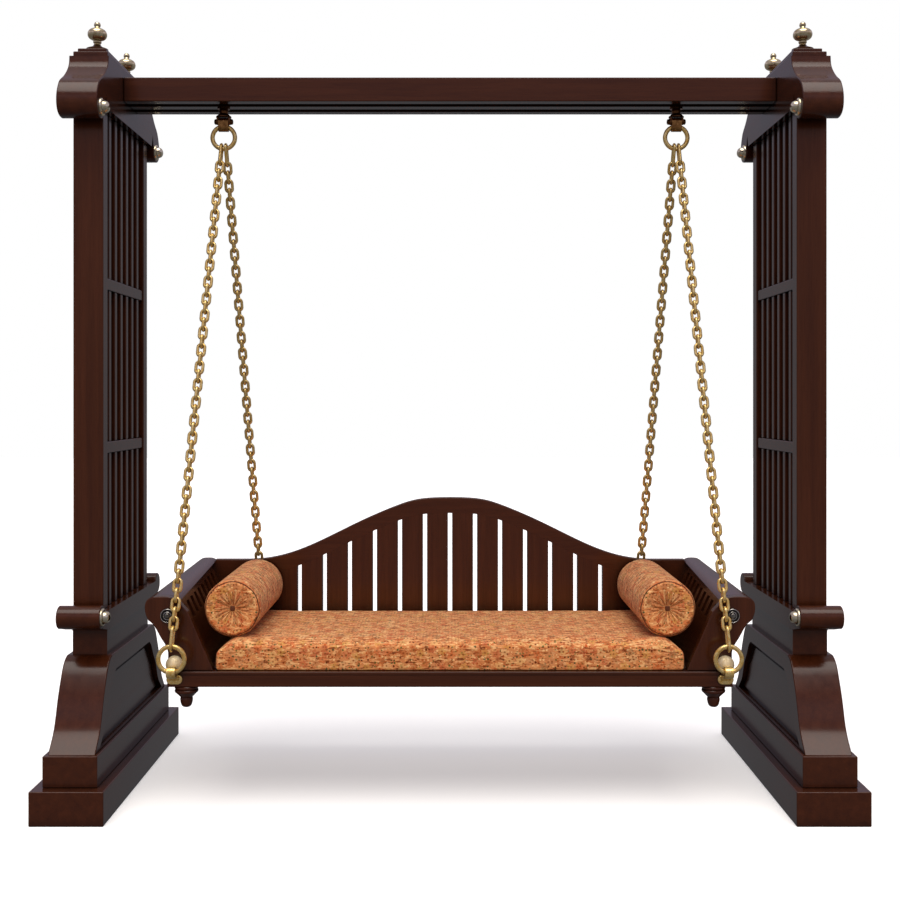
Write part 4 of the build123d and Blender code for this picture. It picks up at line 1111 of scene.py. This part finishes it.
    def seat_piping(
        self, ring: Piece, pad: Piece, middle: Vector, sign: int
    ) -> None:
        """Moves a ring of piping onto the rounded edge of the pad.

        Args:
            ring: the ring of piping.
            pad: the stuffed bolster.
            middle: the bolster's middle.
            sign: the end's side along Y.
        """
        low, high = (Vector(corner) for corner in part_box("bolster_left"))
        radius = (high.x - low.x) / 2
        half = (high.y - low.y) / 2
        start = Vector((middle.x, middle.y + sign * (half - radius), middle.z))
        shifts = {}
        for vertex in ring.data.vertices:
            turn = math.atan2(vertex.co.z - middle.z, vertex.co.x - middle.x)
            key = round(turn, 3)
            if key not in shifts:
                heading = Vector((math.cos(turn), sign * 1.0, math.sin(turn))).normalized()
                hit, place, _, _ = pad.ray_cast(start, heading)
                reach = radius - self.piping_inset
                centre = Vector((0, middle.y + sign * (half - self.piping_inset), 0))
                centre.x = middle.x + reach * math.cos(turn)
                centre.z = middle.z + reach * math.sin(turn)
                shifts[key] = place - centre if hit else Vector()
            vertex.co += shifts[key]

    def button(self, name: str, middle: Vector, y: float, outwards: int) -> Piece:
        """Makes one covered button.

        Args:
            name: the piece's name.
            middle: the bolster's middle.
            y: the button's place along the bolster.
            outwards: the sign of the side that it faces. It is not used.

        Returns:
            The button.
        """
        deselect()
        bpy.ops.mesh.primitive_cube_add(size=1.0, location=(middle.x, y, middle.z))
        cap = bpy.context.active_object
        cap.name = name
        size = 2 * self.button_radius
        cap.scale = (size, size * self.button_flatness, size)
        apply_place(cap)
        bevel = cap.modifiers.new("round", "BEVEL")
        bevel.width = self.button_radius * self.button_round
        bevel.segments = 3
        bpy.ops.object.modifier_apply(modifier=bevel.name)
        subdivide(cap)
        bpy.ops.object.shade_smooth()
        return cap

    def mirrored(self, thing: Piece, name: str) -> Piece:
        """Makes the piece for the other side of the swing.

        Args:
            thing: the finished piece of the left side.
            name: the new piece's name.

        Returns:
            Its mirror image, with a mesh of its own.
        """
        mesh = thing.data.copy()
        twin = bpy.data.objects.new(name, mesh)
        bpy.context.scene.collection.objects.link(twin)
        for vertex in mesh.vertices:
            vertex.co.x = -vertex.co.x
        mesh.flip_normals()
        return twin

    def build(self) -> list[Piece]:
        """Makes both bolsters in place of the plain solids.

        Returns:
            Every piece of both bolsters.
        """
        low, high = (Vector(corner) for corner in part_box("bolster_left"))
        middle = (low + high) / 2
        radius = (high.x - low.x) / 2
        pad = self.stuffing.cover("bolster_left", "bolster_left_pad", (low, high))
        self.stuffing.fill(pad)
        self.stuffing.finish(pad)
        self.keep_inside(pad, (low, high))
        self.gather(pad, (low, high))
        self.unwrap(pad, middle, radius)
        left = [pad]
        for end, y, sign in (("front", low.y, -1), ("rear", high.y, 1)):
            ring_y = y - sign * self.piping_inset
            ring_radius = radius - self.piping_inset
            ring = self.piping(f"bolster_left_piping_{end}", middle, ring_y, ring_radius)
            self.seat_piping(ring, pad, middle, sign)
            left.append(ring)
            button_y = y - sign * (self.dimple + self.button_sink)
            left.append(self.button(f"bolster_left_button_{end}", middle, button_y, sign))
        pieces = []
        for piece in left:
            twin = self.mirrored(piece, piece.name.replace("left", "right"))
            for side, thing in (("left", piece), ("right", twin)):
                dress(thing, self.material if "pad" in thing.name else self.button_material)
                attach(thing, f"bolster_{side}")
                if "pad" in thing.name:
                    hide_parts(f"bolster_{side}")
                LOG.info("%s: %d faces", thing.name, len(thing.data.polygons))
                pieces.append(thing)
        return pieces


@dataclass
class RosetteRims:
    """The turned beads round the dark boss on each arm: one at its edge, one round its screw."""

    material: Material
    radii: tuple[float, ...] = (18.3 * MM, 10.5 * MM)
    bead: float = 1.1 * MM
    bead_depth: float = 0.6 * MM
    boss_radius: float = 19.5 * MM

    def build(self) -> None:
        """Makes both beads of both arms."""
        low, high = (Vector(corner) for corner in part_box("arm_rosettes"))
        z = (low.z + high.z) / 2
        for side, x in (("left", low.x + self.boss_radius), ("right", high.x - self.boss_radius)):
            for index, radius in enumerate(self.radii):
                name = f"arm_rosette_bead_{index + 1}_{side}"
                place = Vector((x, low.y + self.bead_depth, z))
                ring = add_ring(name, place, radius, self.bead, segments=64)
                dress(ring, self.material)
                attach(ring, "swing")
                LOG.info("%s: a bead of %.1f mm", ring.name, radius / MM)


@dataclass(frozen=True)
class ButtonCloth:
    """Plain brown cotton, woven, pulled over a button mould."""

    name: str = "brown_cotton"
    colour: str = "6b3a1e"
    shaded: str = "45220f"
    thread_pitch: float = 1.5 * MM
    roughness: float = 0.8

    def material(self) -> Material:
        """Makes the material: the eye gets a dull brown knob with a hint of weave.

        Returns:
            The material.
        """
        material, tree, output = new_material(self.name)
        place = add_node(tree, "ShaderNodeTexCoord").outputs["Object"]
        weave = add_node(
            tree, "ShaderNodeTexNoise",
            inputs={"Vector": place, "Scale": 1 / self.thread_pitch, "Detail": 2.0},
        )
        tone = add_node(tree, "ShaderNodeValToRGB", inputs={"Fac": weave.outputs["Fac"]})
        fill_ramp(tone, ((NOISE_LOW, self.shaded), (NOISE_HIGH, self.colour)))
        relief = add_node(
            tree, "ShaderNodeBump",
            inputs={"Strength": 0.4, "Distance": 0.4 * MM, "Height": weave.outputs["Fac"]},
        )
        shader = add_node(
            tree, "ShaderNodeBsdfPrincipled",
            inputs={
                "Base Color": tone.outputs["Color"],
                "Roughness": self.roughness,
                "Normal": relief.outputs[0],
            },
        )
        tree.links.new(shader.outputs[0], output.inputs["Surface"])
        return material


# ------------------------------------------------------------------ studio
@dataclass
class Studio:
    """A white floor and backdrop, two broad soft lights and the camera."""

    floor_size: float = 40.0
    floor_paint: str = "f6f6f6"
    floor_roughness: float = 0.9
    floor_specular: float = 0.1
    # The studio's brightness from straight below, through the horizon, to straight above.
    # A bright band low on the dome and a dim one over it give curved wood its soft stripes.
    dome: Stops = (
        (0.0, "5c5c60"),
        (0.5, "7c7b7e"),
        (0.58, "848388"),
        (0.66, "9c98ae"),
        (0.72, "c8c2d4"),
        (0.8, "8c8498"),
        (0.9, "b4b2bc"),
        (1.0, "dcdce2"),
    )
    floor_glow: float = 0.36
    light_spread: float = 50.0
    overhead: float = 1.9
    overhead_tilt: float = 20.0
    overhead_colour: str = "fff9f0"
    fill: float = 1.3
    fill_tilt: float = 76.0
    fill_colour: str = "ffdcb4"
    camera_place: tuple[float, float, float] = (0.0, -3.692, 1.137)
    lens: float = 48.7
    sensor: float = 36.0
    shift_y: float = -0.0556

    def floor(self) -> None:
        """Lays a plain pale floor."""
        deselect()
        bpy.ops.mesh.primitive_plane_add(size=self.floor_size, location=(0, 0, 0))
        ground = bpy.context.active_object
        ground.name = "studio_floor"
        # Matt emulsion paint: the eye gets a plain pale floor that only shows soft shadows.
        material, tree, output = new_material("white_paint")
        shader = add_node(
            tree, "ShaderNodeBsdfPrincipled",
            inputs={
                "Base Color": linear(self.floor_paint),
                "Roughness": self.floor_roughness,
                "Specular IOR Level": self.floor_specular,
                "Emission Color": linear("ffffff"),
                "Emission Strength": self.floor_glow,
            },
        )
        tree.links.new(shader.outputs[0], output.inputs["Surface"])
        dress(ground, material)
        # The wood mirrors the studio's dim sides and no floor, as with a shadow-only floor.
        ground.visible_diffuse = False
        ground.visible_glossy = False

    def world(self) -> None:
        """A white backdrop that lights the object more softly than it looks."""
        world = bpy.data.worlds.new("studio")
        bpy.context.scene.world = world
        world.use_nodes = True
        tree = world.node_tree
        tree.nodes.clear()
        path = add_node(tree, "ShaderNodeLightPath")
        heading = add_node(tree, "ShaderNodeTexCoord").outputs["Generated"]
        parts = add_node(tree, "ShaderNodeSeparateXYZ", inputs={0: heading})
        height = add_node(
            tree, "ShaderNodeMath", {"operation": "MULTIPLY_ADD"},
            {0: parts.outputs["Z"], 1: 0.5, 2: 0.5},
        )
        dome = add_node(tree, "ShaderNodeValToRGB", inputs={"Fac": height.outputs[0]})
        fill_ramp(dome, self.dome)
        soft = add_node(
            tree, "ShaderNodeBackground",
            inputs={"Color": dome.outputs["Color"], "Strength": 1.0},
        )
        seen = add_node(
            tree, "ShaderNodeBackground",
            inputs={"Color": linear("ffffff"), "Strength": 1.0},
        )
        mix = add_node(
            tree, "ShaderNodeMixShader",
            inputs={0: path.outputs["Is Camera Ray"], 1: soft.outputs[0], 2: seen.outputs[0]},
        )
        add_node(tree, "ShaderNodeOutputWorld", inputs={"Surface": mix.outputs[0]})

    def lights(self) -> None:
        """Hangs a broad soft light overhead and sets a warm one before the swing."""
        for name, energy, tilt, colour, is_mirrored in (
            ("overhead", self.overhead, self.overhead_tilt, self.overhead_colour, True),
            # The polish would show this one as a grey veil, so it lights without being mirrored.
            ("fill", self.fill, self.fill_tilt, self.fill_colour, False),
        ):
            sun = bpy.data.lights.new(name, "SUN")
            sun.energy = energy
            sun.angle = math.radians(self.light_spread)
            sun.color = linear(colour)[:3]
            lamp = bpy.data.objects.new(name, sun)
            lamp.rotation_euler = (math.radians(tilt), 0, 0)
            lamp.visible_glossy = is_mirrored
            bpy.context.scene.collection.objects.link(lamp)

    def camera(self) -> None:
        """Sets the camera square to the swing, at its middle."""
        lens = bpy.data.cameras.new("front_view")
        lens.lens = self.lens
        lens.sensor_width = self.sensor
        lens.shift_y = self.shift_y
        view = bpy.data.objects.new("front_view", lens)
        view.location = self.camera_place
        view.rotation_euler = (math.pi / 2, 0, 0)
        bpy.context.scene.collection.objects.link(view)
        bpy.context.scene.camera = view

    def build(self) -> None:
        """Builds the whole studio."""
        bpy.context.scene.view_settings.view_transform = "Standard"
        self.floor()
        self.world()
        self.lights()
        self.camera()
        LOG.info("studio: floor, world, lights and camera")


def main() -> None:
    """Builds the studio, dresses the frame and makes the upholstery."""
    logging.basicConfig(level=logging.INFO, format="%(name)s: %(message)s")
    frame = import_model()
    Studio().build()
    Frame(frame["nodes"], frame["record"]).dress_all()
    cloth = FloralBrocade().material()
    SeatCushion(cloth).build()
    Bolsters(cloth, ButtonCloth().material()).build()
    RosetteRims(AgedMetal("polished_nickel", "eeeae2", "c9c2b6", "5a534a", 0.2).material()).build()


if __name__ == "__main__":
    main()
